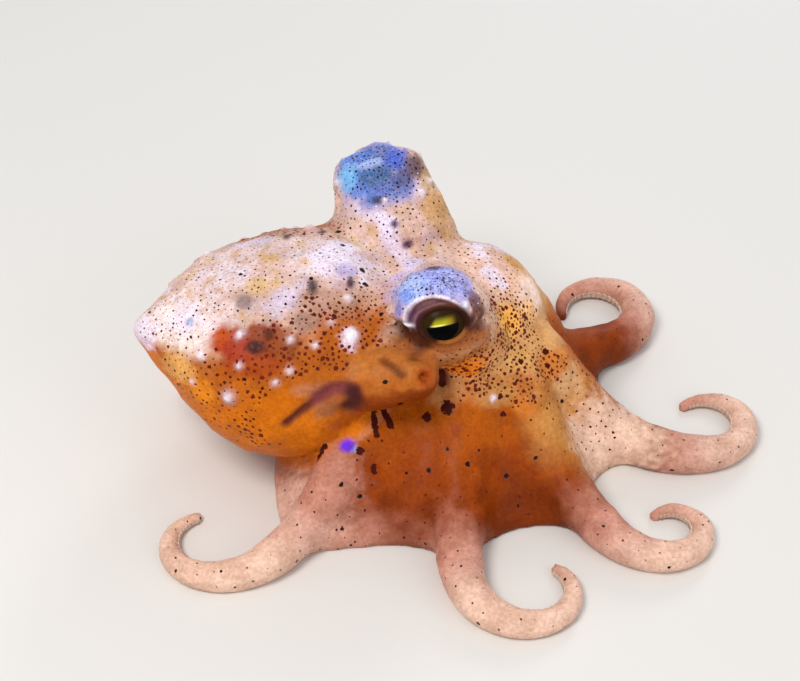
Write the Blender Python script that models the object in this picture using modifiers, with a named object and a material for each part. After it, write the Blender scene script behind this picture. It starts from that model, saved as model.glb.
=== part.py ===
"""A young octopus crouching with its arms drawn round it, at life size.

The animal is shaped in millimetres as smooth closed forms, parted by narrow gaps where a person
would name its parts, and scaled to metres at the end. +Z is up, the head faces +X, and the
origin is the middle of its footprint, on the ground.
"""

import math
from collections import namedtuple

import bmesh
import bpy
from mathutils import Matrix, Vector

MM = 0.001  # metres in one working unit
GAP = 0.3  # clear space between neighbouring parts
VOXEL = 0.3  # grid on which overlapping forms are fused
FLOOR_DEPTH = 1.5  # forms reach this far below the ground before they are flattened on it

# The head is a broad ball, with a brow where the arms join in front and a neck behind.
HEAD_CENTRE = Vector((0.9, 1.0, 7.4))
HEAD_RADII = Vector((5.2, 5.8, 4.6))
BROW_CENTRE = Vector((4.0, 0.9, 6.2))
BROW_RADII = Vector((4.9, 5.4, 5.2))
NECK_CENTRE = Vector((-2.4, -0.1, 6.6))
NECK_RADII = Vector((3.6, 4.8, 4.3))

# The mantle is a plump sac behind the head, drawn out to a point and tilted a little upwards.
MANTLE_NECK = Vector((-1.6, -0.2, 7.9))
MANTLE_TIP = Vector((-15.4, -4.1, 10.3))
MANTLE_WIDTH = 1.06  # width and height of the section, as shares of the profile's radius
MANTLE_HEIGHT = 0.9
MANTLE_PROFILE = (
    (0.0, 3.8),
    (0.06, 5.2),
    (0.18, 6.5),
    (0.36, 7.0),
    (0.56, 6.4),
    (0.69, 5.3),
    (0.8, 3.7),
    (0.88, 2.2),
    (0.94, 1.1),
    (1.0, 0.6),
)  # (share of the length from neck to tip, radius)
MANTLE_SAG = 1.7  # the belly hangs below the axis

# Each eye stands in a raised mound; the left one is held higher.
Eye = namedtuple("Eye", "mound gaze root root_radius plug_radius")
MOUND_RADII = Vector((3.05, 2.85, 2.85))
MOUND_DEPTH = 1.5  # a mound is parted from the head this far below its centre
EYEBALL_RADIUS = 2.0
EYEBALL_OFFSET = 0.9
EYES = {
    "right": Eye(Vector((2.2, -3.9, 11.1)), Vector((0.12, -0.92, 0.36)), 1.8, 3.1, 3.3),
    "left": Eye(Vector((-1.1, 5.8, 12.7)), Vector((-0.3, 0.92, 0.28)), 2.6, 3.8, 4.2),
}

# The funnel leaves the mantle's edge on the right side and points forwards under the eye.
FUNNEL_LINE = (
    Vector((-5.6, -5.2, 7.4)),
    Vector((-3.0, -6.4, 8.4)),
    Vector((-0.2, -7.1, 9.2)),
    Vector((1.7, -7.2, 9.4)),
)
FUNNEL_RADII = (2.1, 1.9, 1.6, 1.4)
FUNNEL_BORE = 0.75
FUNNEL_BORE_DEPTH = 2.2

# Eight arms leave the crown under the head, joined by a web that spreads to each arm's reach.
CROWN = Vector((3.8, 0.0, 0.0))
CROWN_RADIUS = 5.0
CROWN_HEIGHT = 8.0
WEB_EDGE = 0.7  # height of the web's free edge
WEB_SAG = 1.8  # how far the edge draws in between two arms
WEB_TOP = 4.4  # the head begins above this level
ARM_START = 4.0
ARM_ROOT_RADIUS = 2.3
ARM_TIP_RADIUS = 0.32
ARM_TAPER = 0.95
ARM_SINK = 0.72  # height of an arm's centre line over the ground, as a share of its radius
ARM_STEP = 0.8
ARM_CUTS = (0.0, 0.34, 0.68, 1.0)  # the free arm is divided at these shares of its length
ARM_NAMES = ("base", "middle", "tip")
# An arm leaves on its bearing, turning by its curl in degrees between the web's edge and its tip;
# a higher power gathers the curl at the tip. The web falls straight at a flare of 1, hollowed above.
Arm = namedtuple("Arm", "bearing reach length curl power flare arch")
ARMS = {
    "right_1": Arm(-20, 11.2, 25.0, 250, 1.7, 1.25, 0.0),
    "right_2": Arm(-54, 12.2, 25.0, 285, 1.8, 1.3, 0.0),
    "right_3": Arm(-92, 12.4, 26.0, 240, 1.5, 1.3, 0.2),
    "right_4": Arm(-130, 15.6, 28.0, -215, 1.5, 1.7, 1.8),
    "left_4": Arm(154, 11.0, 23.0, 190, 1.5, 1.7, 0.3),
    "left_3": Arm(112, 10.2, 23.0, 260, 1.5, 2.0, 0.0),
    "left_2": Arm(72, 9.8, 23.0, 270, 1.4, 2.2, 0.0),
    "left_1": Arm(30, 10.2, 24.0, 260, 1.5, 2.4, 0.0),
}

SKIN = ((0.72, 0.45, 0.26), 0.42)
BLUE_SKIN = ((0.36, 0.46, 0.78), 0.38)
PALE_SKIN = ((0.74, 0.56, 0.47), 0.42)
EYE_SURFACE = ((0.05, 0.045, 0.02), 0.08)


def clear_scene():
    for old in list(bpy.data.objects):
        bpy.data.objects.remove(old)


def evaluated(obj):
    """The object's mesh with its modifiers applied; the object itself is removed."""
    bpy.context.view_layer.update()
    mesh = bpy.data.meshes.new_from_object(obj.evaluated_get(bpy.context.evaluated_depsgraph_get()))
    bpy.data.objects.remove(obj)
    return mesh


def linked(name, mesh):
    obj = bpy.data.objects.new(name, mesh)
    bpy.context.scene.collection.objects.link(obj)
    return obj


def ball(radii, centre, along=Vector((0, 0, 1)), around=40, rings=24):
    """An ellipsoid whose third radius lies along the given direction."""
    bm = bmesh.new()
    bmesh.ops.create_uvsphere(bm, u_segments=around, v_segments=rings, radius=1.0)
    turn = along.to_track_quat("Z", "Y").to_matrix().to_4x4()
    bm.transform(Matrix.Translation(centre) @ turn @ Matrix.Diagonal((*radii, 1)))
    mesh = bpy.data.meshes.new("ball")
    bm.to_mesh(mesh)
    bm.free()
    return mesh


def shaped_ball(shape, around, rings):
    """A closed ball with every point placed by shape(share of the way from pole to pole, angle)."""
    bm = bmesh.new()
    bmesh.ops.create_uvsphere(bm, u_segments=around, v_segments=rings, radius=1.0)
    for vert in bm.verts:
        share = math.acos(max(-1.0, min(1.0, vert.co.z))) / math.pi
        vert.co = shape(share, math.atan2(vert.co.y, vert.co.x))
    bmesh.ops.recalc_face_normals(bm, faces=bm.faces)
    mesh = bpy.data.meshes.new("shaped ball")
    bm.to_mesh(mesh)
    bm.free()
    return mesh


def tube(points, radii, resolution=3):
    """A round tube along the points, with its own radius at each, as a closed mesh."""
    curve = bpy.data.curves.new("line", "CURVE")
    curve.dimensions = "3D"
    curve.bevel_depth = 1.0
    curve.bevel_resolution = resolution
    curve.use_fill_caps = True
    spline = curve.splines.new("POLY")
    spline.points.add(len(points) - 1)
    for knot, point, radius in zip(spline.points, points, radii):
        knot.co = (*point, 1.0)
        knot.radius = radius
    mesh = evaluated(linked("line", curve))
    bm = bmesh.new()
    bm.from_mesh(mesh)
    bmesh.ops.remove_doubles(bm, verts=bm.verts, dist=0.01)
    bmesh.ops.recalc_face_normals(bm, faces=bm.faces)
    bm.to_mesh(mesh)
    bm.free()
    return mesh


def interpolated(table, share):
    """Linear reading of a table of (share, value) pairs."""
    for (a, low), (b, high) in zip(table, table[1:]):
        if share <= b:
            return low + (high - low) * (share - a) / (b - a)
    return table[-1][1]


def flatten_on_floor(mesh):
    for vert in mesh.vertices:
        vert.co.z = max(vert.co.z, 0.0)


def fused(meshes, triangles, rounds=12):
    """Overlapping forms made one smooth body, flat where it meets the ground, in about so many triangles."""
    bm = bmesh.new()
    for mesh in meshes:
        bm.from_mesh(mesh)
    whole = bpy.data.meshes.new("fused")
    bm.to_mesh(whole)
    bm.free()
    obj = linked("fused", whole)
    remesh = obj.modifiers.new("Remesh", "REMESH")
    remesh.mode = "VOXEL"
    remesh.voxel_size = VOXEL
    smooth = obj.modifiers.new("Smooth", "SMOOTH")
    smooth.factor = 0.5
    smooth.iterations = rounds
    whole = evaluated(obj)
    flatten_on_floor(whole)
    obj = linked("fused", whole)
    thin = obj.modifiers.new("Decimate", "DECIMATE")
    thin.ratio = triangles / (2 * len(whole.polygons))
    return evaluated(obj)


def grown(mesh, distance):
    """A copy with its surface moved outwards."""
    obj = linked("grown", mesh.copy())
    swell = obj.modifiers.new("Displace", "DISPLACE")
    swell.strength = distance
    swell.mid_level = 0.0
    return evaluated(obj)


def boolean(mesh, operation, cutter):
    """The mesh after one exact Boolean with the cutter mesh."""
    obj = linked("cut", mesh)
    tool = linked("cutter", cutter)
    cut = obj.modifiers.new("Boolean", "BOOLEAN")
    cut.operation = operation
    cut.object = tool
    result = evaluated(obj)
    bpy.data.objects.remove(tool)
    return result


def block(low, high):
    bm = bmesh.new()
    bmesh.ops.create_cube(bm, size=1.0)
    size = high - low
    bm.transform(Matrix.Translation((low + high) / 2) @ Matrix.Diagonal((*size, 1)))
    mesh = bpy.data.meshes.new("block")
    bm.to_mesh(mesh)
    bm.free()
    return mesh


# ---- The mantle

def mantle_form():
    axis = MANTLE_TIP - MANTLE_NECK
    forward = axis.normalized()
    side = forward.cross(Vector((0, 0, 1))).normalized()
    up = side.cross(forward)

    def place(share, angle):
        closing = min(1.0, math.sin(math.pi * share) * 8)
        radius = interpolated(MANTLE_PROFILE, share) * closing
        middle = MANTLE_NECK + axis * share - Vector((0, 0, MANTLE_SAG * math.sin(math.pi * share)))
        across = side * math.cos(angle) * MANTLE_WIDTH + up * math.sin(angle) * MANTLE_HEIGHT
        return middle + across * radius

    return shaped_ball(place, 56, 48)


# ---- The arms and their web

def crown_height(distance, reach, flare, arch):
    """Height of the web along one bearing, falling from the head to its free edge."""
    if distance <= CROWN_RADIUS:
        return CROWN_HEIGHT
    out = min(1.0, (distance - CROWN_RADIUS) / (reach - CROWN_RADIUS))
    slope = (CROWN_HEIGHT - WEB_EDGE) * (1 - out ** (1 / flare))
    return WEB_EDGE + slope + arch * math.sin(math.pi * out) ** 2


def arm_radius(arm, along):
    left = max(0.0, 1 - along / arm.length)
    return ARM_TIP_RADIUS + (ARM_ROOT_RADIUS - ARM_TIP_RADIUS) * left**ARM_TAPER


def arm_heading(arm, along):
    free = max(0.0, (along - arm.reach) / (arm.length - arm.reach))
    return math.radians(arm.bearing + arm.curl * free**arm.power)


def arm_height(arm, along):
    """Height of the centre line: sunk in the crown at first, a ridge on the web, then on the ground."""
    radius = arm_radius(arm, along)
    lying = ARM_SINK * radius
    out = min(1.0, max(0.0, (along - ARM_START) / (arm.reach - ARM_START)))
    raised = crown_height(along, arm.reach, arm.flare, arm.arch) - (1.15 - 0.8 * out) * radius
    height = (lying + raised + math.sqrt((lying - raised) ** 2 + 0.6)) / 2
    return lying + (height - lying) * math.exp(-max(0.0, along - arm.reach))


def arm_line(arm, start, end):
    """Points and radii of one arm's centre line between two distances from the crown's middle."""
    place = CROWN + Matrix.Rotation(math.radians(arm.bearing), 3, "Z") @ Vector((ARM_START, 0, 0))
    spans = max(2, round((end - start) / ARM_STEP))
    points = []
    radii = []
    along = ARM_START
    for k in range(spans + 1):
        station = start + (end - start) * k / spans
        while along < station - 1e-9:
            step = min(ARM_STEP / 5, station - along)
            heading = arm_heading(arm, along)
            place = place + Vector((math.cos(heading), math.sin(heading), 0)) * step
            along += step
        points.append(Vector((place.x, place.y, arm_height(arm, along))))
        radii.append(arm_radius(arm, along))
    return points, radii


def web_at(angle):
    """Reach, flare and arch of the web on a bearing, drawn in between neighbouring arms."""
    ring = sorted((arm.bearing % 360, arm.reach, arm.flare, arm.arch) for arm in ARMS.values())
    ring.append((ring[0][0] + 360, *ring[0][1:]))
    bearing = (math.degrees(angle) - ring[0][0]) % 360 + ring[0][0]
    for here, after in zip(ring, ring[1:]):
        if bearing <= after[0]:
            share = (bearing - here[0]) / (after[0] - here[0])
            reach, flare, arch = (a + (b - a) * share for a, b in zip(here[1:], after[1:]))
            return reach - WEB_SAG * math.sin(math.pi * share), flare, arch
    return ring[0][1:]


def web_form():
    def place(share, angle):
        reach, flare, arch = web_at(angle)
        if share <= 0.5:
            distance = reach * 2 * share
            height = crown_height(distance, reach, flare, arch)
        else:
            distance = reach * (2 - 2 * share)
            height = -FLOOR_DEPTH
        return CROWN + Vector((math.cos(angle) * distance, math.sin(angle) * distance, height))

    return shaped_ball(place, 144, 80)


def arm_cut(arm):
    """Distance from the crown at which the web's part of an arm ends."""
    return arm.reach + 0.8


def arm_roots():
    return [tube(*arm_line(arm, ARM_START, arm_cut(arm) + 1.5)) for arm in ARMS.values()]


def arm_end_cutter(arm):
    """A block over the arm's root from its cut outwards."""
    end = arm_line(arm, ARM_START, arm_cut(arm))[0][-1]
    radius = arm_radius(arm, arm_cut(arm)) + 0.9
    mesh = block(Vector((0, -radius, -FLOOR_DEPTH)), Vector((3.5, radius, 2.4 * radius)))
    turn = Matrix.Rotation(arm_heading(arm, arm_cut(arm)), 4, "Z")
    mesh.transform(Matrix.Translation((end.x, end.y, 0)) @ turn)
    return mesh


def free_arm_parts(name, arm):
    """(node name, mesh) of the base, middle and tip of one arm, outside the web."""
    begin = arm_cut(arm) + GAP
    span = arm.length - begin
    for part, low, high in zip(ARM_NAMES, ARM_CUTS, ARM_CUTS[1:]):
        start = begin + span * low
        end = begin + span * high - (GAP if high < 1 else 0)
        mesh = tube(*arm_line(arm, start, end), 2)
        flatten_on_floor(mesh)
        yield f"arm_{name}_{part}", mesh


# ---- The head, eyes and funnel

def mound_forms():
    """Each eye's mound and the stalk that carries it."""
    for eye in EYES.values():
        inwards = (HEAD_CENTRE - eye.mound).normalized()
        root = eye.mound + inwards * eye.root
        stalk = [eye.mound, root, root + inwards]
        yield ball(MOUND_RADII, eye.mound)
        yield tube(stalk, [MOUND_RADII.x * 0.95, eye.root_radius, eye.root_radius], 10)


def mound_plug(eye, depth):
    """A drum over a mound, ending this far below the mound's centre."""
    bm = bmesh.new()
    outwards = (eye.mound - HEAD_CENTRE).normalized()
    height = 6.0
    bmesh.ops.create_cone(
        bm,
        cap_ends=True,
        segments=32,
        radius1=eye.plug_radius,
        radius2=eye.plug_radius,
        depth=height,
    )
    turn = outwards.to_track_quat("Z", "Y").to_matrix().to_4x4()
    bm.transform(Matrix.Translation(eye.mound + outwards * (height / 2 - depth)) @ turn)
    mesh = bpy.data.meshes.new("plug")
    bm.to_mesh(mesh)
    bm.free()
    return mesh


def eyeball_centre(eye):
    return eye.mound + eye.gaze.normalized() * EYEBALL_OFFSET


def funnel_form():
    points = []
    radii = []
    spans = len(FUNNEL_LINE) - 1
    for k in range(spans * 3 + 1):
        span = min(k // 3, spans - 1)
        share = k / 3 - span
        points.append(FUNNEL_LINE[span].lerp(FUNNEL_LINE[span + 1], share))
        radii.append(FUNNEL_RADII[span] + (FUNNEL_RADII[span + 1] - FUNNEL_RADII[span]) * share)
    return tube(points, radii, 6)


def funnel_bore():
    end = FUNNEL_LINE[-1]
    back = (FUNNEL_LINE[-2] - end).normalized()
    return tube([end - back, end + back * FUNNEL_BORE_DEPTH], [FUNNEL_BORE, FUNNEL_BORE], 3)


# ---- Parts, finishes and placing

def body_parts():
    """(node name, mesh, finish) of every part but the free arms."""
    brow = ball(BROW_RADII, BROW_CENTRE)
    head = ball(HEAD_RADII, HEAD_CENTRE)
    neck = ball(NECK_RADII, NECK_CENTRE)
    whole = fused([head, brow, neck, web_form(), *mound_forms(), *arm_roots()], 3600)
    for arm in ARMS.values():
        whole = boolean(whole, "DIFFERENCE", arm_end_cutter(arm))
    mantle = boolean(fused([mantle_form()], 800, 4), "DIFFERENCE", grown(whole, GAP))
    funnel = boolean(fused([funnel_form()], 360, 4), "DIFFERENCE", grown(whole, GAP))
    funnel = boolean(funnel, "DIFFERENCE", grown(mantle, GAP))
    funnel = boolean(funnel, "DIFFERENCE", funnel_bore())

    for side, eye in EYES.items():
        socket = ball(Vector((1, 1, 1)) * (EYEBALL_RADIUS + GAP), eyeball_centre(eye), eye.gaze, 20, 12)
        whole = boolean(whole, "DIFFERENCE", socket)
        mound = boolean(whole.copy(), "INTERSECT", mound_plug(eye, MOUND_DEPTH))
        whole = boolean(whole, "DIFFERENCE", mound_plug(eye, MOUND_DEPTH + GAP))
        eyeball = ball(Vector((1, 1, 1)) * EYEBALL_RADIUS, eyeball_centre(eye), eye.gaze, 16, 10)
        yield f"eye_mound_{side}", mound, BLUE_SKIN
        yield f"eye_{side}", eyeball, EYE_SURFACE

    far = 40.0
    above = block(Vector((-far, -far, WEB_TOP + GAP / 2)), Vector((far, far, far)))
    below = block(Vector((-far, -far, -far)), Vector((far, far, WEB_TOP - GAP / 2)))
    yield "head", boolean(whole.copy(), "INTERSECT", above), SKIN
    yield "web", boolean(whole, "INTERSECT", below), SKIN
    yield "mantle", mantle, SKIN
    yield "funnel", funnel, PALE_SKIN


def principled(name, finish):
    colour, roughness = finish
    material = bpy.data.materials.new(name)
    material.use_nodes = True
    shader = material.node_tree.nodes["Principled BSDF"]
    shader.inputs["Base Color"].default_value = (*colour, 1)
    shader.inputs["Roughness"].default_value = roughness
    shader.inputs["Metallic"].default_value = 0.0
    return material


def main():
    clear_scene()
    parts = list(body_parts())
    for name, arm in ARMS.items():
        parts += [(node, mesh, PALE_SKIN) for node, mesh in free_arm_parts(name, arm)]

    corners = [vert.co for _, mesh, _ in parts for vert in mesh.vertices]
    low = Vector(map(min, zip(*corners)))
    high = Vector(map(max, zip(*corners)))
    middle = Vector(((low.x + high.x) / 2, (low.y + high.y) / 2, 0))
    place = Matrix.Scale(MM, 4) @ Matrix.Translation(-middle)

    octopus = bpy.data.collections.new("octopus")
    bpy.context.scene.collection.children.link(octopus)
    for node, mesh, finish in parts:
        mesh.transform(place)
        mesh.materials.clear()
        mesh.materials.append(principled(node, finish))
        mesh.shade_smooth()
        obj = bpy.data.objects.new(node, mesh)
        octopus.objects.link(obj)


main()
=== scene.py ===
import math
import random
from collections import namedtuple

import bmesh
import bpy
import numpy as np
from mathutils import Matrix, Vector, noise
from mathutils.bvhtree import BVHTree
from mathutils.kdtree import KDTree


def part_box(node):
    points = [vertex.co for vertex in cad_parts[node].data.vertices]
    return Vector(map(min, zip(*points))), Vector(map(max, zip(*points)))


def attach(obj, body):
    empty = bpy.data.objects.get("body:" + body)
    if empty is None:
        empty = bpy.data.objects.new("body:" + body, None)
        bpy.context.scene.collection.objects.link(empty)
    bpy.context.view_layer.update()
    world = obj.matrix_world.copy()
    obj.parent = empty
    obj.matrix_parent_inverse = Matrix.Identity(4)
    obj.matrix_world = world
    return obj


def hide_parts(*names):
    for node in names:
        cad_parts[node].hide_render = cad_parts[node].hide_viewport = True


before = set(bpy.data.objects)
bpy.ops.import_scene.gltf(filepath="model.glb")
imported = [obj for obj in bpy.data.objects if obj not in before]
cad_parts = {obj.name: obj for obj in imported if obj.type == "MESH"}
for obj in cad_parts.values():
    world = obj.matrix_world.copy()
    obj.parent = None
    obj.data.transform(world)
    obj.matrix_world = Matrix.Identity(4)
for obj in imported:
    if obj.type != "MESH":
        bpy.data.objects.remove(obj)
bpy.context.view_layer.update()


# ---- The eight arms
# Tapering rods of muscle that leave the crown under the head, run down the web as ridges and
# curl on the ground. All forms are drawn in millimetres about the ground under the neck.

MM = 0.001
CROWN = Vector((3.8, 0.0, 0.0))
CROWN_RADIUS = 5.0
CROWN_HEIGHT = 8.0
WEB_EDGE = 0.7
ARM_START = 4.0
ARM_ROOT_RADIUS = 2.3
ARM_TIP_RADIUS = 0.32
ARM_SINK = 0.72
RIDGE_DEPTH = 1.15
RIDGE_LIFT = 0.8
RIDGE_EASING = 0.6
STRIDE = 0.05
Arm = namedtuple("Arm", "bearing reach length curl power flare arch")
ARMS = {
    "right_1": Arm(-20, 11.2, 25.0, 250, 1.7, 1.25, 0.0),
    "right_2": Arm(-54, 12.2, 25.0, 285, 1.8, 1.3, 0.0),
    "right_3": Arm(-92, 12.4, 26.0, 240, 1.5, 1.3, 0.2),
    "right_4": Arm(-130, 15.6, 28.0, -215, 1.5, 1.7, 1.8),
    "left_4": Arm(154, 11.0, 23.0, 190, 1.5, 1.7, 0.3),
    "left_3": Arm(112, 10.2, 23.0, 260, 1.5, 2.0, 0.0),
    "left_2": Arm(72, 9.8, 23.0, 270, 1.4, 2.2, 0.0),
    "left_1": Arm(30, 10.2, 24.0, 260, 1.5, 2.4, 0.0),
}


def crown_height(distance, reach, flare, arch):
    """Height of the web along one bearing, falling from the head to its free edge."""
    if distance <= CROWN_RADIUS:
        return CROWN_HEIGHT
    out = min(1.0, (distance - CROWN_RADIUS) / (reach - CROWN_RADIUS))
    slope = (CROWN_HEIGHT - WEB_EDGE) * (1 - out ** (1 / flare))
    return WEB_EDGE + slope + arch * math.sin(math.pi * out) ** 2


def arm_radius(arm, along):
    left = max(0.0, 1 - along / arm.length)
    return ARM_TIP_RADIUS + (ARM_ROOT_RADIUS - ARM_TIP_RADIUS) * left**0.95


def arm_heading(arm, along):
    free = max(0.0, (along - arm.reach) / (arm.length - arm.reach))
    return math.radians(arm.bearing + arm.curl * free**arm.power)


def arm_height(arm, along):
    """Height of the centre line: sunk in the crown, then a ridge on the web, then on the ground."""
    radius = arm_radius(arm, along)
    lying = ARM_SINK * radius
    out = min(1.0, max(0.0, (along - ARM_START) / (arm.reach - ARM_START)))
    depth = (RIDGE_DEPTH - RIDGE_LIFT * out) * radius
    raised = crown_height(along, arm.reach, arm.flare, arm.arch) - depth
    height = (lying + raised + math.sqrt((lying - raised) ** 2 + RIDGE_EASING)) / 2
    return lying + (height - lying) * math.exp(-max(0.0, along - arm.reach))


def arm_stations(arm, start, end, step):
    """(distance along, point, heading, radius) down one arm's centre line."""
    place = CROWN + Matrix.Rotation(math.radians(arm.bearing), 3, "Z") @ Vector((ARM_START, 0, 0))
    along = ARM_START
    wanted = start
    stations = []
    while along < end + STRIDE / 2:
        if along >= wanted - STRIDE / 2:
            point = Vector((place.x, place.y, arm_height(arm, along)))
            stations.append((along, point, arm_heading(arm, along), arm_radius(arm, along)))
            wanted += step
        heading = arm_heading(arm, along)
        place = place + Vector((math.cos(heading), math.sin(heading), 0)) * STRIDE
        along += STRIDE
    return stations


def evaluated(obj):
    """The object's mesh with its modifiers applied; the object itself is removed."""
    bpy.context.view_layer.update()
    view = bpy.context.evaluated_depsgraph_get()
    mesh = bpy.data.meshes.new_from_object(obj.evaluated_get(view))
    bpy.data.objects.remove(obj)
    return mesh


def linked(name, mesh):
    obj = bpy.data.objects.new(name, mesh)
    bpy.context.scene.collection.objects.link(obj)
    return obj


def tube(points, radii, resolution=6):
    """A round closed tube along the points, with its own radius at each."""
    curve = bpy.data.curves.new("line", "CURVE")
    curve.dimensions = "3D"
    curve.bevel_depth = 1.0
    curve.bevel_resolution = resolution
    curve.use_fill_caps = True
    spline = curve.splines.new("POLY")
    spline.points.add(len(points) - 1)
    for knot, point, radius in zip(spline.points, points, radii):
        knot.co = (*point, 1.0)
        knot.radius = radius
    mesh = evaluated(linked("line", curve))
    bm = bmesh.new()
    bm.from_mesh(mesh)
    bmesh.ops.remove_doubles(bm, verts=bm.verts, dist=0.01)
    bmesh.ops.recalc_face_normals(bm, faces=bm.faces)
    bm.to_mesh(mesh)
    bm.free()
    return mesh


def arm_tube(arm, start, end, step):
    stations = arm_stations(arm, start, end, step)
    return tube([point for _, point, _, _ in stations], [radius for *_, radius in stations])


arm_roots = [arm_tube(arm, ARM_START, arm.reach + 2.3, 0.4) for arm in ARMS.values()]
free_arms = [arm_tube(arm, arm.reach + 0.6, arm.length, 0.2) for arm in ARMS.values()]


# ---- The web
# The skin stretched between the arms: a skirt that falls from the head and spreads on the ground,
# drawn in a little between each arm and the next.

WEB_SAG = 1.8
FLOOR_DEPTH = 1.5


def as_mesh(bm, name):
    """The form built in bm, as a mesh of its own."""
    mesh = bpy.data.meshes.new(name)
    bm.to_mesh(mesh)
    bm.free()
    return mesh


def shaped_ball(shape, around, rings):
    """A closed ball with every point placed by shape(share of the way from pole to pole, angle)."""
    bm = bmesh.new()
    bmesh.ops.create_uvsphere(bm, u_segments=around, v_segments=rings, radius=1.0)
    for vert in bm.verts:
        share = math.acos(max(-1.0, min(1.0, vert.co.z))) / math.pi
        vert.co = shape(share, math.atan2(vert.co.y, vert.co.x))
    bmesh.ops.recalc_face_normals(bm, faces=bm.faces)
    return as_mesh(bm, "shaped ball")


def web_at(angle):
    """Reach, flare and arch of the web on a bearing."""
    ring = sorted((arm.bearing % 360, arm.reach, arm.flare, arm.arch) for arm in ARMS.values())
    ring.append((ring[0][0] + 360, *ring[0][1:]))
    bearing = (math.degrees(angle) - ring[0][0]) % 360 + ring[0][0]
    for here, after in zip(ring, ring[1:]):
        if bearing <= after[0]:
            share = (bearing - here[0]) / (after[0] - here[0])
            reach, flare, arch = (a + (b - a) * share for a, b in zip(here[1:], after[1:]))
            return reach - WEB_SAG * math.sin(math.pi * share), flare, arch
    return ring[0][1:]


def web_place(share, angle):
    reach, flare, arch = web_at(angle)
    if share <= 0.5:
        distance = reach * 2 * share
        height = crown_height(distance, reach, flare, arch)
    else:
        distance = reach * (2 - 2 * share)
        height = -FLOOR_DEPTH
    return CROWN + Vector((math.cos(angle) * distance, math.sin(angle) * distance, height))


web = shaped_ball(web_place, around=144, rings=80)


# ---- The head
# A broad ball of soft flesh, with a brow where the arms join in front, a neck behind, and two eyes
# carried in mounds. The left mound stands higher, on a stout stalk.

HEAD_CENTRE = Vector((0.9, 1.0, 7.4))
HEAD_RADII = Vector((5.2, 5.8, 4.6))
BROW_CENTRE = Vector((4.0, 0.9, 6.2))
BROW_RADII = Vector((4.9, 5.4, 5.2))
NECK_CENTRE = Vector((-2.4, -0.1, 6.6))
NECK_RADII = Vector((3.6, 4.8, 4.3))
MOUND_RADII = Vector((3.05, 2.85, 2.85))
EYEBALL_RADIUS = 2.0
EYEBALL_OFFSET = 0.9
Eye = namedtuple("Eye", "mound gaze root root_radius")
EYES = {
    "right": Eye(Vector((2.2, -3.9, 11.1)), Vector((0.12, -0.92, 0.36)), 1.8, 3.1),
    "left": Eye(Vector((-1.1, 5.8, 12.7)), Vector((-0.3, 0.92, 0.28)), 2.6, 3.8),
}


def eyeball_centre(eye):
    return eye.mound + eye.gaze.normalized() * EYEBALL_OFFSET


# The CAD eye fixes where the millimetre forms stand in the frame.
cad_eye = sum(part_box("eye_right"), Vector()) / 2 / MM
TO_FRAME = Matrix.Scale(MM, 4) @ Matrix.Translation(cad_eye - eyeball_centre(EYES["right"]))


def ball(radii, centre, around=64, rings=40):
    bm = bmesh.new()
    bmesh.ops.create_uvsphere(bm, u_segments=around, v_segments=rings, radius=1.0)
    bm.transform(Matrix.Translation(centre) @ Matrix.Diagonal((*radii, 1)))
    return as_mesh(bm, "ball")


def fused(meshes, voxel, rounds):
    """Overlapping forms made one smooth body, flat where it meets the ground."""
    bm = bmesh.new()
    for mesh in meshes:
        bm.from_mesh(mesh)
    obj = linked("fused", as_mesh(bm, "fused"))
    remesh = obj.modifiers.new("Remesh", "REMESH")
    remesh.mode = "VOXEL"
    remesh.voxel_size = voxel
    smooth = obj.modifiers.new("Smooth", "SMOOTH")
    smooth.factor = 0.5
    smooth.iterations = rounds
    whole = evaluated(obj)
    for vert in whole.vertices:
        vert.co.z = max(vert.co.z, 0.0)
    return whole


def eye_mounds():
    for eye in EYES.values():
        inwards = (HEAD_CENTRE - eye.mound).normalized()
        root = eye.mound + inwards * eye.root
        stalk = [eye.mound, root, root + inwards]
        yield ball(MOUND_RADII, eye.mound)
        yield tube(stalk, [MOUND_RADII.x * 0.95, eye.root_radius, eye.root_radius], 10)


head = ball(HEAD_RADII, HEAD_CENTRE)
brow = ball(BROW_RADII, BROW_CENTRE)
neck = ball(NECK_RADII, NECK_CENTRE)
crown_body = fused([head, brow, neck, web, *eye_mounds(), *arm_roots], voxel=0.3, rounds=12)


# ---- The mantle
# The plump sac of muscle behind the head, which holds the organs and the gills. It grows from the
# neck, sags a little in the middle and is drawn out to a point at the rear.

MANTLE_NECK = Vector((-1.6, -0.2, 7.9))
MANTLE_TIP = Vector((-15.4, -4.1, 10.3))
MANTLE_AXIS = MANTLE_TIP - MANTLE_NECK
MANTLE_SAG = 1.7
MANTLE_SHARES = (0.0, 0.06, 0.18, 0.36, 0.56, 0.69, 0.8, 0.88, 0.94, 1.0)
MANTLE_SIZES = (3.8, 5.2, 6.5, 7.0, 6.4, 5.3, 3.7, 2.2, 1.1, 0.6)
MANTLE_WIDE = 1.06
MANTLE_TALL = 0.9


def mantle_place(share, angle):
    forward = MANTLE_AXIS.normalized()
    side = forward.cross(Vector((0, 0, 1))).normalized()
    up = side.cross(forward)
    radius = np.interp(share, MANTLE_SHARES, MANTLE_SIZES) * min(1.0, math.sin(math.pi * share) * 8)
    sag = Vector((0, 0, MANTLE_SAG * math.sin(math.pi * share)))
    around = side * math.cos(angle) * MANTLE_WIDE + up * math.sin(angle) * MANTLE_TALL
    return MANTLE_NECK + MANTLE_AXIS * share - sag + around * radius


mantle = fused([shaped_ball(mantle_place, around=96, rings=96)], voxel=0.3, rounds=4)


# ---- The funnel
# The spout through which the mantle blows water: a soft tube that lies under the right eye. Its
# end is domed, and a small round mouth opens in the dome, turned out to the side.

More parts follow.
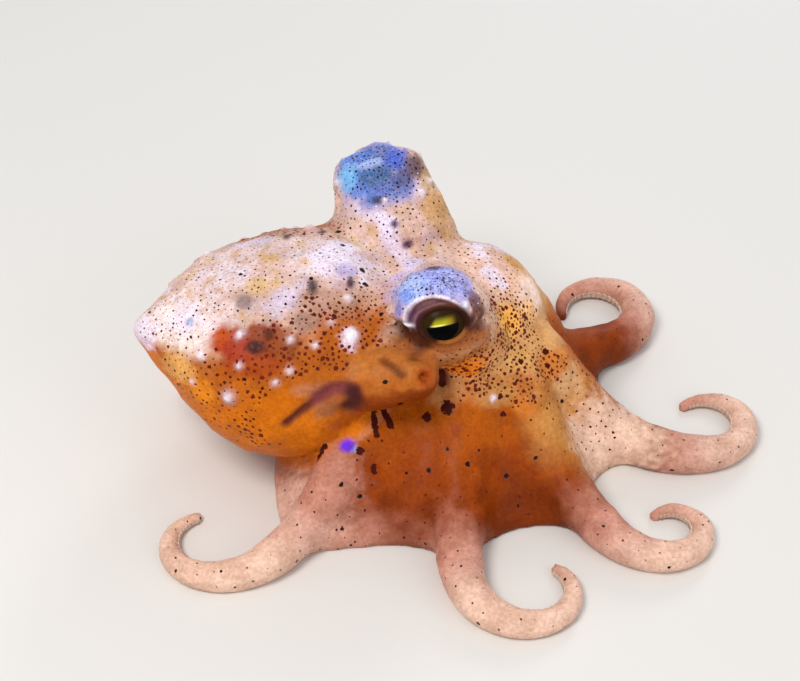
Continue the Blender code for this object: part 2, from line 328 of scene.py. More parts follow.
FUNNEL_LINE = (
    Vector((-5.6, -5.2, 7.4)),
    Vector((-3.0, -6.4, 8.4)),
    Vector((-0.2, -7.1, 9.2)),
    Vector((0.8, -7.2, 9.45)),
)
FUNNEL_RADII = (2.1, 1.95, 1.62, 1.42)
FUNNEL_MOUTH = Vector((0.45, -0.70, 0.55))
FUNNEL_BORE = 0.36
FUNNEL_BORE_DEPTH = 0.75
FUNNEL_STEPS = 6
DOME_STEPS = 8
DOME_TURN = 10.5


def funnel_form():
    """The tube, closed with a dome at its free end."""
    points = []
    radii = []
    spans = len(FUNNEL_LINE) - 1
    for k in range(spans * FUNNEL_STEPS + 1):
        span = min(k // FUNNEL_STEPS, spans - 1)
        share = k / FUNNEL_STEPS - span
        points.append(FUNNEL_LINE[span].lerp(FUNNEL_LINE[span + 1], share))
        radii.append(FUNNEL_RADII[span] + (FUNNEL_RADII[span + 1] - FUNNEL_RADII[span]) * share)
    forward = (FUNNEL_LINE[-1] - FUNNEL_LINE[-2]).normalized()
    for k in range(1, DOME_STEPS + 1):
        turn = math.radians(k * DOME_TURN)
        points.append(FUNNEL_LINE[-1] + forward * FUNNEL_RADII[-1] * math.sin(turn))
        radii.append(FUNNEL_RADII[-1] * math.cos(turn))
    return tube(points, radii, 10)


funnel_mouth = FUNNEL_MOUTH.normalized()
funnel_lip = FUNNEL_LINE[-1] + funnel_mouth * FUNNEL_RADII[-1]
bore_line = [funnel_lip + funnel_mouth, funnel_lip, funnel_lip - funnel_mouth * FUNNEL_BORE_DEPTH]
funnel_bore = tube(bore_line, [FUNNEL_BORE * 1.5, FUNNEL_BORE, FUNNEL_BORE * 0.7], 8)
bored = linked("bored", fused([funnel_form()], voxel=0.16, rounds=3))
cutter = linked("cutter", funnel_bore)
boring = bored.modifiers.new("Boolean", "BOOLEAN")
boring.operation = "DIFFERENCE"
boring.object = cutter
funnel = evaluated(bored)
bpy.data.objects.remove(cutter)


# ---- The skin's form
# One unbroken skin over every soft part. It is fused from the forms above, eased where they meet,
# then worked: lids and an opening at each eye, the slit at the mantle's edge, pimples and folds.

SKIN_VOXEL = 0.2
MIDDLE = Vector((0.55, 0.95, 0.0))
ACROSS = Vector((-0.322, 0.947, 0.0))
OFF_MIDDLE = 2.5
THROAT = (Vector((-0.5, -4.7, 9.6)), Vector((2.1, 1.8, 1.6)))
CHEEK = (Vector((3.7, -3.2, 8.7)), Vector((2.6, 2.3, 2.4)))


def mirrored(place):
    """The matching place on the animal's other side."""
    place = Vector(place)
    return place - 2 * (place - MIDDLE).dot(ACROSS) * ACROSS


def pair(place):
    return place, mirrored(place)


def both_sides(marks):
    """The marks, and a copy on the other side of each that stands well off the middle line."""
    for place, *rest in marks:
        yield (place, *rest)
        if abs((Vector(place) - MIDDLE).dot(ACROSS)) > OFF_MIDDLE:
            yield (mirrored(place), *rest)


def points_of(mesh, field="co"):
    """The places of the mesh's points, or their normals, as rows of three."""
    flat = np.empty(len(mesh.vertices) * 3)
    mesh.vertices.foreach_get(field, flat)
    return flat.reshape(-1, 3)


def smoothstep(low, high, value):
    share = np.clip((value - low) / (high - low), 0.0, 1.0)
    return share * share * (3 - 2 * share)


def falloff(low, high, value):
    """1 up to the low value, easing to 0 at the high one."""
    return 1 - smoothstep(low, high, value)


def distance_to(form, places):
    tree = BVHTree.FromPolygons([v.co for v in form.vertices], [p.vertices[:] for p in form.polygons])
    return np.array([tree.find_nearest(Vector(p))[3] for p in places])


def reach_of(place, radii=1.0):
    """Each skin point's distance from a place, in radii."""
    return np.linalg.norm((skin_at - np.array(place)) / np.array(radii), axis=1)


def ease(verts, rounds):
    """Evens out a join by drawing each of the skin's points towards its neighbours."""
    all_ways = dict(use_axis_x=True, use_axis_y=True, use_axis_z=True)
    for _ in range(rounds):
        bmesh.ops.smooth_vert(skin_bm, verts=verts, factor=0.5, **all_ways)


def ease_where(mask, rounds):
    ease([skin_bm.verts[k] for k in np.flatnonzero(mask)], rounds)


def eye_frame(eye):
    """The gaze, the forward and the upward direction of an eye."""
    gaze = eye.gaze.normalized()
    side = Vector((0, 0, 1)).cross(gaze).normalized() * (-1 if gaze.y > 0 else 1)
    up = side.cross(gaze)
    return gaze, side, up if up.z > 0 else -up


fillers = [ball(radii, place) for centre, radii in (THROAT, CHEEK) for place in pair(centre)]
skin_mesh = fused([crown_body, mantle, funnel, *fillers, *free_arms], SKIN_VOXEL, rounds=3)

skin_at = points_of(skin_mesh)
x, y, z = skin_at.T
from_mantle = distance_to(mantle, skin_at)
from_crown_body = distance_to(crown_body, skin_at)
from_funnel = distance_to(funnel, skin_at)
clear_of_funnel = (from_funnel > 0.7) & ((y > -6.0) | (z > 10.0))
skin_bm = bmesh.new()
skin_bm.from_mesh(skin_mesh)
skin_bm.verts.ensure_lookup_table()

# The joins: mantle to head, the same under the high eye, the funnel's lip, funnel to body, and
# the ridges down the front of the web.
high_eye_side = (y > 1.5) & (z > 11.0)
from_neck = np.maximum(from_mantle, from_crown_body)
for width, rounds in ((2.2, 60), (1.3, 70)):
    ease_where((from_neck < width) & clear_of_funnel & (z > 8.5) & ~high_eye_side, rounds)
ease_where((from_neck < 1.0) & high_eye_side, 25)
ease_where(reach_of(funnel_lip) < 0.8, 8)
from_body = np.minimum(from_mantle, from_crown_body)
ease_where((np.maximum(from_funnel, from_body) < 0.9) & (z > 9.3), 60)
front = (y < -4.5) & (x > -3.0) & (z > 1.6) & (z < 7.5) & (np.hypot(x - CROWN.x, y) < 11.0)
ease_where(front & (from_funnel > 0.5), 70)
for eye in EYES.values():
    foot = []
    for vert in skin_bm.verts:
        out = vert.co - eye.mound
        if 2.5 < out.length < 4.6 and out.z < 0.4 and out.dot(eye.gaze) < 1.6 + 0.4 * out.z:
            foot.append(vert)
    ease(foot, 50)

# The sole that lies on the ground needs few faces, and the lids need many.
sole = [f for f in skin_bm.faces if all(v.co.z < 0.0001 for v in f.verts)]
bmesh.ops.dissolve_faces(skin_bm, faces=sole, use_verts=False)
for eye in EYES.values():
    centre = eyeball_centre(eye)
    near = []
    for edge in skin_bm.edges:
        outs = [v.co - centre for v in edge.verts]
        if all(out.length < 3.2 and out.dot(eye.gaze) > -0.3 for out in outs):
            near.append(edge)
    bmesh.ops.subdivide_edges(skin_bm, edges=near, cuts=1, use_grid_fill=True)
    up = eye_frame(eye)[2]
    near = []
    for edge in skin_bm.edges:
        outs = [(v.co - centre).normalized() for v in edge.verts if (v.co - centre).length < 3.0]
        if len(outs) == 2 and all(out.dot(eye.gaze) > 0.38 and out.dot(up) > -0.4 for out in outs):
            near.append(edge)
    bmesh.ops.subdivide_edges(skin_bm, edges=near, cuts=1, use_grid_fill=True)
bmesh.ops.triangulate(skin_bm, faces=[f for f in skin_bm.faces if len(f.verts) > 4])
skin_bm.to_mesh(skin_mesh)
skin_bm.free()


def rumpled(places, size, seed):
    """Soft noise between about -1 and 1, with lumps of the given size in millimetres."""
    shift = Vector((seed * 7.3, seed * 3.1, seed * 11.7))
    return np.array([noise.noise(Vector(p) / size + shift) for p in places])


skin_at = points_of(skin_mesh)
skin_out = points_of(skin_mesh, "normal")
x, y, z = skin_at.T
is_mantle = falloff(0.25, 1.1, distance_to(mantle, skin_at))
is_funnel = falloff(0.1, 0.5, distance_to(funnel, skin_at)) * smoothstep(-3.4, -2.2, x)
lumps = {size: rumpled(skin_at, size, size) for size in (3.2, 1.5, 0.7, 0.35)}

# Soft lumps over the body, fading where the skin meets the ground.
off_ground = smoothstep(0.1, 0.8, z)
swell = 0.09 * lumps[3.2] + 0.08 * lumps[1.5] + 0.04 * lumps[0.7]
swell *= off_ground * (1 - 0.7 * is_funnel)

# Pimples on the mantle, cheeks and stalks: (place, height, width).
PIMPLES = (
    ((-9.5, -8.2, 8.7), 0.3, 0.34),
    ((-2.7, -6.0, 11.3), 0.3, 0.36),
    ((-8.8, -6.3, 11.7), 0.25, 0.26),
    ((-11.1, -6.7, 10.5), 0.26, 0.24),
    ((-8.9, -7.5, 10.5), 0.16, 0.18),
    ((-6.0, -6.6, 11.6), 0.2, 0.2),
    ((-6.1, -7.7, 10.4), 0.2, 0.2),
    ((-7.0, -8.2, 9.8), 0.14, 0.18),
    ((-11.6, -7.1, 8.8), 0.14, 0.18),
    ((-3.9, -5.6, 12.0), 0.15, 0.2),
    ((-4.6, -6.7, 11.4), 0.14, 0.18),
    ((-5.2, 2.7, 12.3), 0.3, 0.26),
    ((5.3, -5.7, 6.4), 0.24, 0.2),
)
STALK_PIMPLES = (
    ((-3.6, 5.0, 14.0), 0.28, 0.24),
    ((0.7, 6.4, 14.8), 0.16, 0.24),
    ((1.5, 5.2, 13.9), 0.2, 0.22),
    ((1.2, 4.0, 14.1), 0.2, 0.2),
    ((-0.9, 3.0, 14.3), 0.16, 0.2),
)


def pimple(place, width):
    """The share of a pimple's height at each skin point, its place first drawn on to the skin."""
    nearest = skin_at[reach_of(place).argmin()]
    return np.exp(-((reach_of(nearest) / width) ** 2))


white_pimple = np.zeros(len(skin_at))
for place, height, width in (*both_sides(PIMPLES), *STALK_PIMPLES):
    bump = pimple(place, width)
    swell += height * bump
    white_pimple = np.maximum(white_pimple, bump)
SMALL_PIMPLES = 150
small = random.Random(5)
for _ in range(SMALL_PIMPLES):
    place = skin_at[small.randrange(len(skin_at))]
    clear_of_eye = np.hypot(place[0] - 2.2, place[1] + 5.0) > 2.5
    if place[2] > 9.0 and clear_of_eye:
        swell += small.uniform(0.05, 0.13) * pimple(place, small.uniform(0.14, 0.26))

# The mantle's edge lifts off the head behind the funnel and leaves a dark arched slit.
SLIT_ARMS = (
    (((-6.4, -8.6, 7.3), (-5.7, -8.5, 7.95), (-5.0, -8.3, 8.45), (-4.5, -8.1, 8.85)), 0.5),
    (((-4.6, -8.1, 8.8), (-3.9, -7.8, 9.05), (-3.2, -7.8, 9.15), (-2.6, -8.1, 9.1)), 0.75),
    (((-2.6, -8.1, 9.0), (-2.5, -8.2, 8.5), (-2.9, -8.0, 7.9)), 0.82),
)


def nearness_to_line(line, width):
    """1 on a line of points, falling to 0 at the given width."""
    best = np.full(len(skin_at), 99.0)
    for a, b in zip(line, line[1:]):
        a = np.array(a)
        b = np.array(b)
        share = np.clip((skin_at - a) @ (b - a) / ((b - a) @ (b - a)), 0, 1)
        best = np.minimum(best, np.linalg.norm(skin_at - a - share[:, None] * (b - a), axis=1))
    return 1 - smoothstep(0.2 * width, width, best)


SLIT_DEPTH = 0.34
slit = np.max([nearness_to_line(line, width) for line, width in SLIT_ARMS], axis=0)
swell -= SLIT_DEPTH * slit

# The high eye's stalk is fuller in front than behind.
swell += 0.5 * pimple((0.6, 5.9, 15.1), 1.25)
swell += 0.3 * pimple((2.2, 4.9, 13.3), 1.2)
swell -= 0.4 * pimple((-2.3, 6.1, 15.4), 1.1)
places = skin_at + skin_out * swell[:, None]


# Each eye looks out of a low arched opening. A dark band and a white ridge arch over it, and the
# ridge ends in a white pimple at each side. Shares are of a unit sphere round the eyeball.
Lid = namedtuple("Lid", "edge arch above close across rise ahead")
OPENING = ((-0.03, 0.155), (0.56, 0.405))
RIDGE_MIDDLE = (-0.2, 0.08)
RIDGE_BACK = 0.69
RIDGE_FRONT = 0.82
RIDGE_RISE = 0.74
RIDGE_HEIGHT = 0.26
FOLD_HEIGHT = 0.03
FOLDS = 34
LID_PIMPLES = (((0.47, 0.545), 0.22, 0.075), ((-0.84, 0.13), 0.12, 0.05))
lids = {}
for name, eye in EYES.items():
    centre = np.array(eyeball_centre(eye))
    gaze, side, up = (np.array(v) for v in eye_frame(eye))
    ray = places - centre
    far = np.linalg.norm(ray, axis=1)
    ray = ray / far[:, None]
    ahead, across, rise = ray @ gaze, ray @ side, ray @ up
    (mid_across, mid_rise), (half_across, half_rise) = OPENING
    edge = np.hypot((across - mid_across) / half_across, (rise - mid_rise) / half_rise)
    edge = np.where(ahead > 0, edge, 9.0)
    half = np.where(across > RIDGE_MIDDLE[0], RIDGE_FRONT, RIDGE_BACK)
    arch = np.hypot((across - RIDGE_MIDDLE[0]) / half, (rise - RIDGE_MIDDLE[1]) / RIDGE_RISE)
    arch = np.where(ahead > -0.2, arch, 2.0 - 0.5 * (ahead + 0.2))
    close = 1 - smoothstep(2.95, 3.6, far)
    above = smoothstep(-0.1, 0.25, rise)
    natural = np.maximum(far, EYEBALL_RADIUS + 0.08)
    rolled = EYEBALL_RADIUS + 0.07 + 0.13 * np.exp(-(((edge - 1.17) / 0.1) ** 2))
    folds = FOLD_HEIGHT * np.sin(edge * FOLDS) * above * falloff(0.8, 1.0, arch)
    below_rim = smoothstep(1.2, 1.9, edge) * (1 - above)
    past_ridge = above * smoothstep(0.86, 0.98, arch)
    cover = rolled + folds + (natural - rolled) * np.maximum(below_rim, past_ridge)
    ridge = smoothstep(0.84, 0.96, arch) * falloff(0.97, 1.35, arch) * above
    cover = cover + RIDGE_HEIGHT * ridge
    for (pimple_across, pimple_rise), height, width in LID_PIMPLES:
        off = np.hypot(across - pimple_across, rise - pimple_rise) / width
        cover = cover + height * np.exp(-(off**2)) * (ahead > 0)
    sunk = EYEBALL_RADIUS - 0.3
    wanted = sunk + (cover - sunk) * smoothstep(0.94, 1.06, edge)
    places = centre + ray * (far + (wanted - far) * close)[:, None]
    lids[name] = Lid(edge, arch, above, close, across, rise, ahead)

places[:, 2] = np.maximum(places[:, 2], 0.0)
skin_mesh.vertices.foreach_set("co", places.astype(np.float32).ravel())
skin_mesh.update()
skin_at = points_of(skin_mesh)
skin_out = points_of(skin_mesh, "normal")
x, y, z = skin_at.T


# ---- The skin's colours
# Pink and white above, amber below the mantle, orange to deep brown down the web, rosy arms, and
# blue hoods over the eyes: pigment painted on each point of the skin, along with some painted shade
# and painted highlights.

PINK = (0.73, 0.53, 0.50)
TAN = (0.68, 0.41, 0.27)
BEIGE = (0.68, 0.36, 0.14)
ORANGE = (0.98, 0.48, 0.10)
RUSTY = (0.58, 0.19, 0.03)
UMBER = (0.46, 0.115, 0.008)
AMBER = (0.66, 0.17, 0.002)
GOLD = (0.44, 0.094, 0.001)
DEEP_BROWN_AND_SHADE = (0.32, 0.052, 0.001)
DUSK_BROWN_AND_SHADE = (0.20, 0.031, 0.001)
PALE = (0.85, 0.59, 0.45)
ROSE = (0.56, 0.25, 0.18)
BLUSH = (0.70, 0.43, 0.34)
WHITE = (0.76, 0.65, 0.82)
CREAM = (0.95, 0.74, 0.68)
LAVENDER = (0.40, 0.37, 0.76)
SKY = (0.27, 0.44, 0.93)
NEAR_BLUE = (0.25, 0.30, 0.84)
FAR_BLUE = (0.05, 0.13, 0.46)
TEAL = (0.03, 0.11, 0.30)
MAUVE = (0.14, 0.04, 0.022)
PLUM_SHADE = (0.085, 0.025, 0.06)
DARK = (0.02, 0.006, 0.008)
MAROON = (0.06, 0.004, 0.002)
VIOLET = (0.16, 0.03, 0.85)
MILKY = (0.90, 0.84, 0.96)
pigment = np.tile(np.array(TAN), (len(skin_at), 1))


def wash(colour, share):
    """Lays a colour over the pigment, by share at each point."""
    global pigment
    share = np.clip(share, 0, 1)[:, None]
    pigment = pigment * (1 - share) + np.array(colour) * share


def dab(place, radii, colour, strength=1.0, ragged=0.3):
    """A soft-edged patch of colour whose outline wavers."""
    wavering = reach_of(place, radii) + ragged * (lumps[0.35] + 0.6 * lumps[0.7])
    wash(colour, strength * falloff(0.5, 1.2, wavering))


# Down the head and web, and out along the arms. The web darkens towards the ground, partly its own
# deep brown and partly painted shade.
from_crown = np.hypot(x - CROWN.x, y - CROWN.y)
uneven = z + 0.9 * lumps[1.5] + 0.5 * lumps[0.7]
wash(PINK, 0.6 * smoothstep(10.8, 12.5, uneven))
wash(BEIGE, falloff(9.4, 11.2, uneven))
wash(GOLD, falloff(6.0, 8.2, uneven))
wash(DEEP_BROWN_AND_SHADE, falloff(3.6, 6.2, uneven))
wash(DUSK_BROWN_AND_SHADE, falloff(1.4, 3.6, uneven) * 0.95)
ragged_out = from_crown + 1.3 * lumps[3.2] + 0.6 * lumps[0.7]
wash(ROSE, smoothstep(10.6, 14.0, ragged_out))
wash(BLUSH, smoothstep(12.5, 16.5, ragged_out))
wash(PALE, 0.7 * smoothstep(15.0, 18.0, ragged_out))

# Round the mantle: its lift is the angle above the side, and the pink ends higher near the neck.
axis = MANTLE_AXIS.normalized()
beside = axis.cross(Vector((0, 0, 1))).normalized()
over = beside.cross(axis)
off_neck = skin_at - np.array(MANTLE_NECK)
along_mantle = off_neck @ np.array(axis) / MANTLE_AXIS.length
sag = np.sin(np.pi * np.clip(along_mantle, 0, 1)) * MANTLE_SAG
off_axis = off_neck + np.outer(sag, (0, 0, 1))
lift = np.degrees(np.arctan2(off_axis @ np.array(over), np.abs(off_axis @ np.array(beside))))
lift = lift + 9 * lumps[1.5] + 5 * lumps[0.7]
border = np.interp(along_mantle, (0.0, 0.3, 0.5, 0.8, 1.0), (52, 53, 44, 22, 10))
amber_lift = lift + 25 * smoothstep(0.5, 0.3, along_mantle)
UNDERSIDE = (0.58, 0.16, 0.01)
wash(PINK, is_mantle)
wash(TAN, is_mantle * falloff(border, border + 26, lift) * 0.8)
wash(TAN, is_mantle * smoothstep(0.05, 0.5, lumps[3.2]) * 0.3)
wash(UMBER, is_mantle * falloff(border - 12, border + 9, lift))
wash(AMBER, is_mantle * falloff(border - 34, border - 14, amber_lift))
wash(UNDERSIDE, 0.7 * is_mantle * falloff(-60, -25, lift))

# Brownish, yellow, lilac and pale clouds over the pink: (colour, size, seed, strength).
CLOUDS = (
    ((0.62, 0.42, 0.34), 1.6, 2, 0.8),
    ((0.66, 0.42, 0.14), 0.8, 4, 0.6),
    ((0.60, 0.48, 0.62), 0.9, 6, 0.45),
    ((0.84, 0.74, 0.78), 0.7, 8, 0.15),
)
on_top = is_mantle * smoothstep(4, 24, lift - border)
on_head = (1 - is_mantle) * smoothstep(10.2, 11.6, uneven)
upper = np.maximum(np.maximum(on_top, on_head), smoothstep(12.5, 13.2, z))
for eye in EYES.values():
    upper *= smoothstep(3.3, 4.3, reach_of(eye.mound + eye.gaze))
for colour, size, seed, strength in CLOUDS:
    wash(colour, strength * upper * smoothstep(0.12, 0.5, rumpled(skin_at, size, seed)))

# The funnel: tan above, orange below, and a painted peach highlight along its top.
FUNNEL_TAN = (0.50, 0.150, 0.022)
FUNNEL_ORANGE = (0.28, 0.048, 0.001)
FUNNEL_HIGHLIGHT = (0.47, 0.17, 0.035)
facing_up = skin_out[:, 2]
wash(FUNNEL_TAN, is_funnel)
wash(FUNNEL_ORANGE, is_funnel * falloff(-0.1, 0.7, facing_up + 0.3 * lumps[0.7]))
wash(FUNNEL_HIGHLIGHT, 0.5 * is_funnel * smoothstep(0.5, 0.9, facing_up + 0.5 * lumps[0.7]))

# Broad patches: (place, radii, colour, strength).
PATCHES = (
    ((12.4, -4.6, 2.2), (3.8, 3.0, 3.0), PALE, 1.0),
    ((9.6, -3.2, 5.6), (1.4, 1.4, 1.4), (0.68, 0.40, 0.20), 0.8),
    ((8.4, -1.6, 7.8), (1.6, 1.8, 1.4), BEIGE, 0.8),
    ((9.1, -2.9, 6.8), 0.9, RUSTY, 0.8),
    ((7.4, 0.2, 9.4), (1.8, 1.8, 1.2), (0.97, 0.71, 0.57), 0.9),
    ((6.4, -3.6, 7.4), (1.5, 1.2, 1.2), (0.74, 0.41, 0.13), 0.9),
    ((5.6, -5.7, 6.8), (1.4, 1.1, 0.9), (0.56, 0.28, 0.08), 0.85),
    ((3.0, -6.2, 9.6), (2.8, 1.3, 1.0), (0.46, 0.17, 0.04), 0.9),
    ((4.5, -5.4, 9.9), (1.1, 1.0, 0.8), (0.52, 0.21, 0.07), 0.8),
    ((5.2, -4.0, 9.2), (1.4, 1.3, 1.1), (0.66, 0.30, 0.11), 0.8),
    ((6.2, -2.5, 9.5), (1.5, 1.3, 1.0), ORANGE, 1.0),
    ((3.7, -5.6, 8.7), (1.5, 1.4, 1.0), (0.86, 0.24, 0.015), 0.95),
    ((7.2, -5.9, 6.0), (0.8, 0.8, 0.6), (0.60, 0.19, 0.03), 0.7),
    ((7.6, -1.0, 9.2), 0.7, ORANGE, 0.6),
    ((8.8, -3.2, 6.8), (0.9, 1.0, 1.2), RUSTY, 0.8),
    ((-4.1, -8.4, 8.0), (1.0, 0.8, 0.7), (0.42, 0.15, 0.06), 0.85),
    ((-4.9, -8.2, 9.3), (1.3, 0.8, 0.45), (0.50, 0.18, 0.08), 0.85),
    ((-2.9, -8.0, 6.8), (1.5, 1.3, 0.9), (0.44, 0.09, 0.006), 0.8),
    ((5.0, 0.9, 11.0), (2.6, 3.0, 1.6), (0.80, 0.52, 0.43), 0.85),
    ((-6.4, -9.8, 1.4), (3.6, 3.2, 1.8), BLUSH, 0.9),
    ((-4.2, -10.2, 3.4), (2.4, 2.2, 1.8), ROSE, 0.9),
    ((-3.4, -9.0, 4.8), (1.4, 1.2, 1.0), ROSE, 0.7),
    ((-12.4, -4.8, 11.2), (2.6, 2.4, 1.4), CREAM, 0.8),
    ((-12.6, -6.3, 9.3), (1.5, 1.2, 1.1), (0.80, 0.42, 0.12), 0.8),
    ((-11.0, -7.2, 8.4), (1.3, 1.0, 0.9), (0.82, 0.28, 0.01), 0.6),
    ((-14.6, -4.4, 10.3), 1.2, WHITE, 0.8),
    ((-3.4, -1.3, 13.0), (2.2, 1.6, 1.6), WHITE, 0.95),
    ((-3.3, 0.4, 13.0), (0.9, 0.8, 0.7), (0.84, 0.76, 0.96), 0.85),
    ((-2.1, -0.9, 12.8), (0.8, 0.7, 0.7), (0.78, 0.67, 0.80), 0.75),
    ((-4.3, -2.3, 13.1), (0.8, 0.7, 0.6), (0.80, 0.66, 0.84), 0.7),
    ((-3.1, -2.2, 13.0), (0.8, 0.7, 0.6), (0.46, 0.38, 0.66), 0.75),
    ((-3.2, -3.4, 12.8), (0.9, 0.6, 0.6), (0.62, 0.44, 0.56), 0.6),
    ((-5.4, -3.4, 12.9), (0.8, 0.6, 0.6), (0.62, 0.52, 0.72), 0.6),
    ((-7.0, -5.0, 12.6), (0.9, 0.8, 0.9), (0.64, 0.54, 0.74), 0.65),
    ((-6.2, -4.4, 12.9), (0.9, 0.8, 0.9), (0.64, 0.54, 0.74), 0.7),
    ((-0.9, -2.4, 12.0), (0.8, 0.8, 0.6), (0.66, 0.45, 0.50), 0.6),
    ((-12.0, -4.7, 11.5), 1.0, WHITE, 0.7),
    ((-9.8, -2.2, 12.9), 1.4, WHITE, 0.35),
    ((-2.8, -6.1, 11.2), 0.6, WHITE, 0.75),
    ((4.6, 2.8, 11.0), 0.9, WHITE, 0.85),
    ((4.7, 1.6, 11.2), 0.7, WHITE, 0.6),
    ((5.1, 0.2, 11.2), 0.6, WHITE, 0.8),
    ((5.8, -0.5, 10.8), 0.7, WHITE, 0.75),
    ((6.0, 3.3, 10.3), 0.8, WHITE, 0.6),
    ((-4.5, -4.6, 12.7), (1.5, 1.0, 0.9), (0.46, 0.26, 0.20), 0.8),
    ((-3.1, -4.2, 12.5), (1.0, 1.2, 0.9), (0.50, 0.27, 0.17), 0.7),
    ((-5.4, -5.7, 12.1), (1.0, 0.7, 0.8), (0.33, 0.24, 0.22), 0.6),
    ((-8.0, -3.6, 13.1), (0.8, 0.7, 0.6), (0.62, 0.38, 0.10), 0.6),
    ((6.6, 2.0, 10.4), (0.7, 0.7, 0.6), (0.70, 0.34, 0.06), 0.8),
    ((-9.6, -8.2, 8.9), (0.5, 0.5, 0.8), (0.36, 0.13, 0.10), 0.6),
)
SLOPE_TAN = (0.61, 0.28, 0.07)
for slope in pair((9.9, -5.2, 4.4)):
    reach = reach_of(slope, (3.2, 3.4, 3.0)) + 0.25 * lumps[1.5]
    wash(SLOPE_TAN, 0.9 * falloff(0.4, 1.3, reach))
for place, radii, colour, strength in both_sides(PATCHES):
    dab(place, radii, colour, strength, 0.5 if colour in (WHITE, CREAM) else 0.3)

# The dark red patch, lower on the left side, and the foot of the high stalk.
RED_DROP = Vector((0, 0, 1.6))
RED_PATCH = (
    ((-8.0, -7.4, 10.5), (2.6, 0.9, 1.0), (0.44, 0.09, 0.008), 0.9),
    ((-7.7, -6.7, 11.5), (2.0, 1.2, 1.3), (0.30, 0.05, 0.010), 1.0),
    ((-6.4, -6.8, 11.4), (1.0, 1.0, 1.0), (0.28, 0.07, 0.015), 0.8),
    ((-7.9, -7.6, 10.6), (1.5, 0.9, 0.8), (0.35, 0.052, 0.004), 0.8),
    ((-9.7, -6.4, 11.4), (1.0, 0.9, 1.0), (0.50, 0.070, 0.008), 1.0),
    ((-9.1, -7.0, 11.1), (1.1, 0.9, 1.0), (0.36, 0.036, 0.010), 0.9),
)
STALK_PATCHES = (
    ((-3.0, 3.6, 10.6), (1.4, 2.2, 2.6), PINK, 0.7),
    ((2.2, 4.4, 12.0), (1.6, 2.4, 2.2), (0.72, 0.42, 0.17), 0.8),
    ((2.2, 3.4, 13.3), (1.3, 1.6, 1.3), (0.60, 0.33, 0.13), 0.8),
)
for place, *look in RED_PATCH:
    dab(place, *look)
    dab(mirrored(place) - RED_DROP, *look)
for patch in STALK_PATCHES:
    dab(*patch)

# The pale bar from the high eye across the head to the near one.
BAR = ((-2.1, 2.9, 13.8), (-0.8, 1.8, 13.5), (-0.6, 1.0, 12.9), (0.2, 0.4, 12.2), (0.7, -2.0, 13.0))
BAR_LILAC = (0.74, 0.62, 0.86)
wash(BAR_LILAC, 0.9 * nearness_to_line(BAR, 0.85) * (1 - 0.6 * np.abs(lumps[0.7])))

# The eye mounds, from the outside in: hood, dusky sides, dark band, ridge and rim. A hood has a
# deep colour, a bright one behind, a pale rim, its reach back, forwards and inwards, and its share
# of pale flecks, partly pale cells and partly painted highlights on small bumps.
Hood = namedtuple("Hood", "blue bright rim back fore inside frost")
HOODS = {
    "right": Hood(NEAR_BLUE, SKY, LAVENDER, -0.90, 0.54, -0.3, 1.0),
    "left": Hood(FAR_BLUE, (0.10, 0.20, 0.62), (0.50, 0.44, 0.74), -0.98, 0.42, -0.95, 0.25),
}
DUSKY_SIDE = (0.27, 0.125, 0.10)
LID_FOOT = (0.42, 0.125, 0.022)
LOWER_LID = (0.30, 0.08, 0.02)
CORNER_SHADE = (0.06, 0.012, 0.003)
LID_BAND = (0.34, 0.21, 0.27)
RIDGE_WHITE = (0.84, 0.78, 0.95)
PIMPLE_WHITE = (0.92, 0.88, 0.98)
RIM_SHADE = (0.034, 0.008, 0.003)
RIM_BROWN = (0.30, 0.105, 0.016)
hooded = np.zeros(len(skin_at))
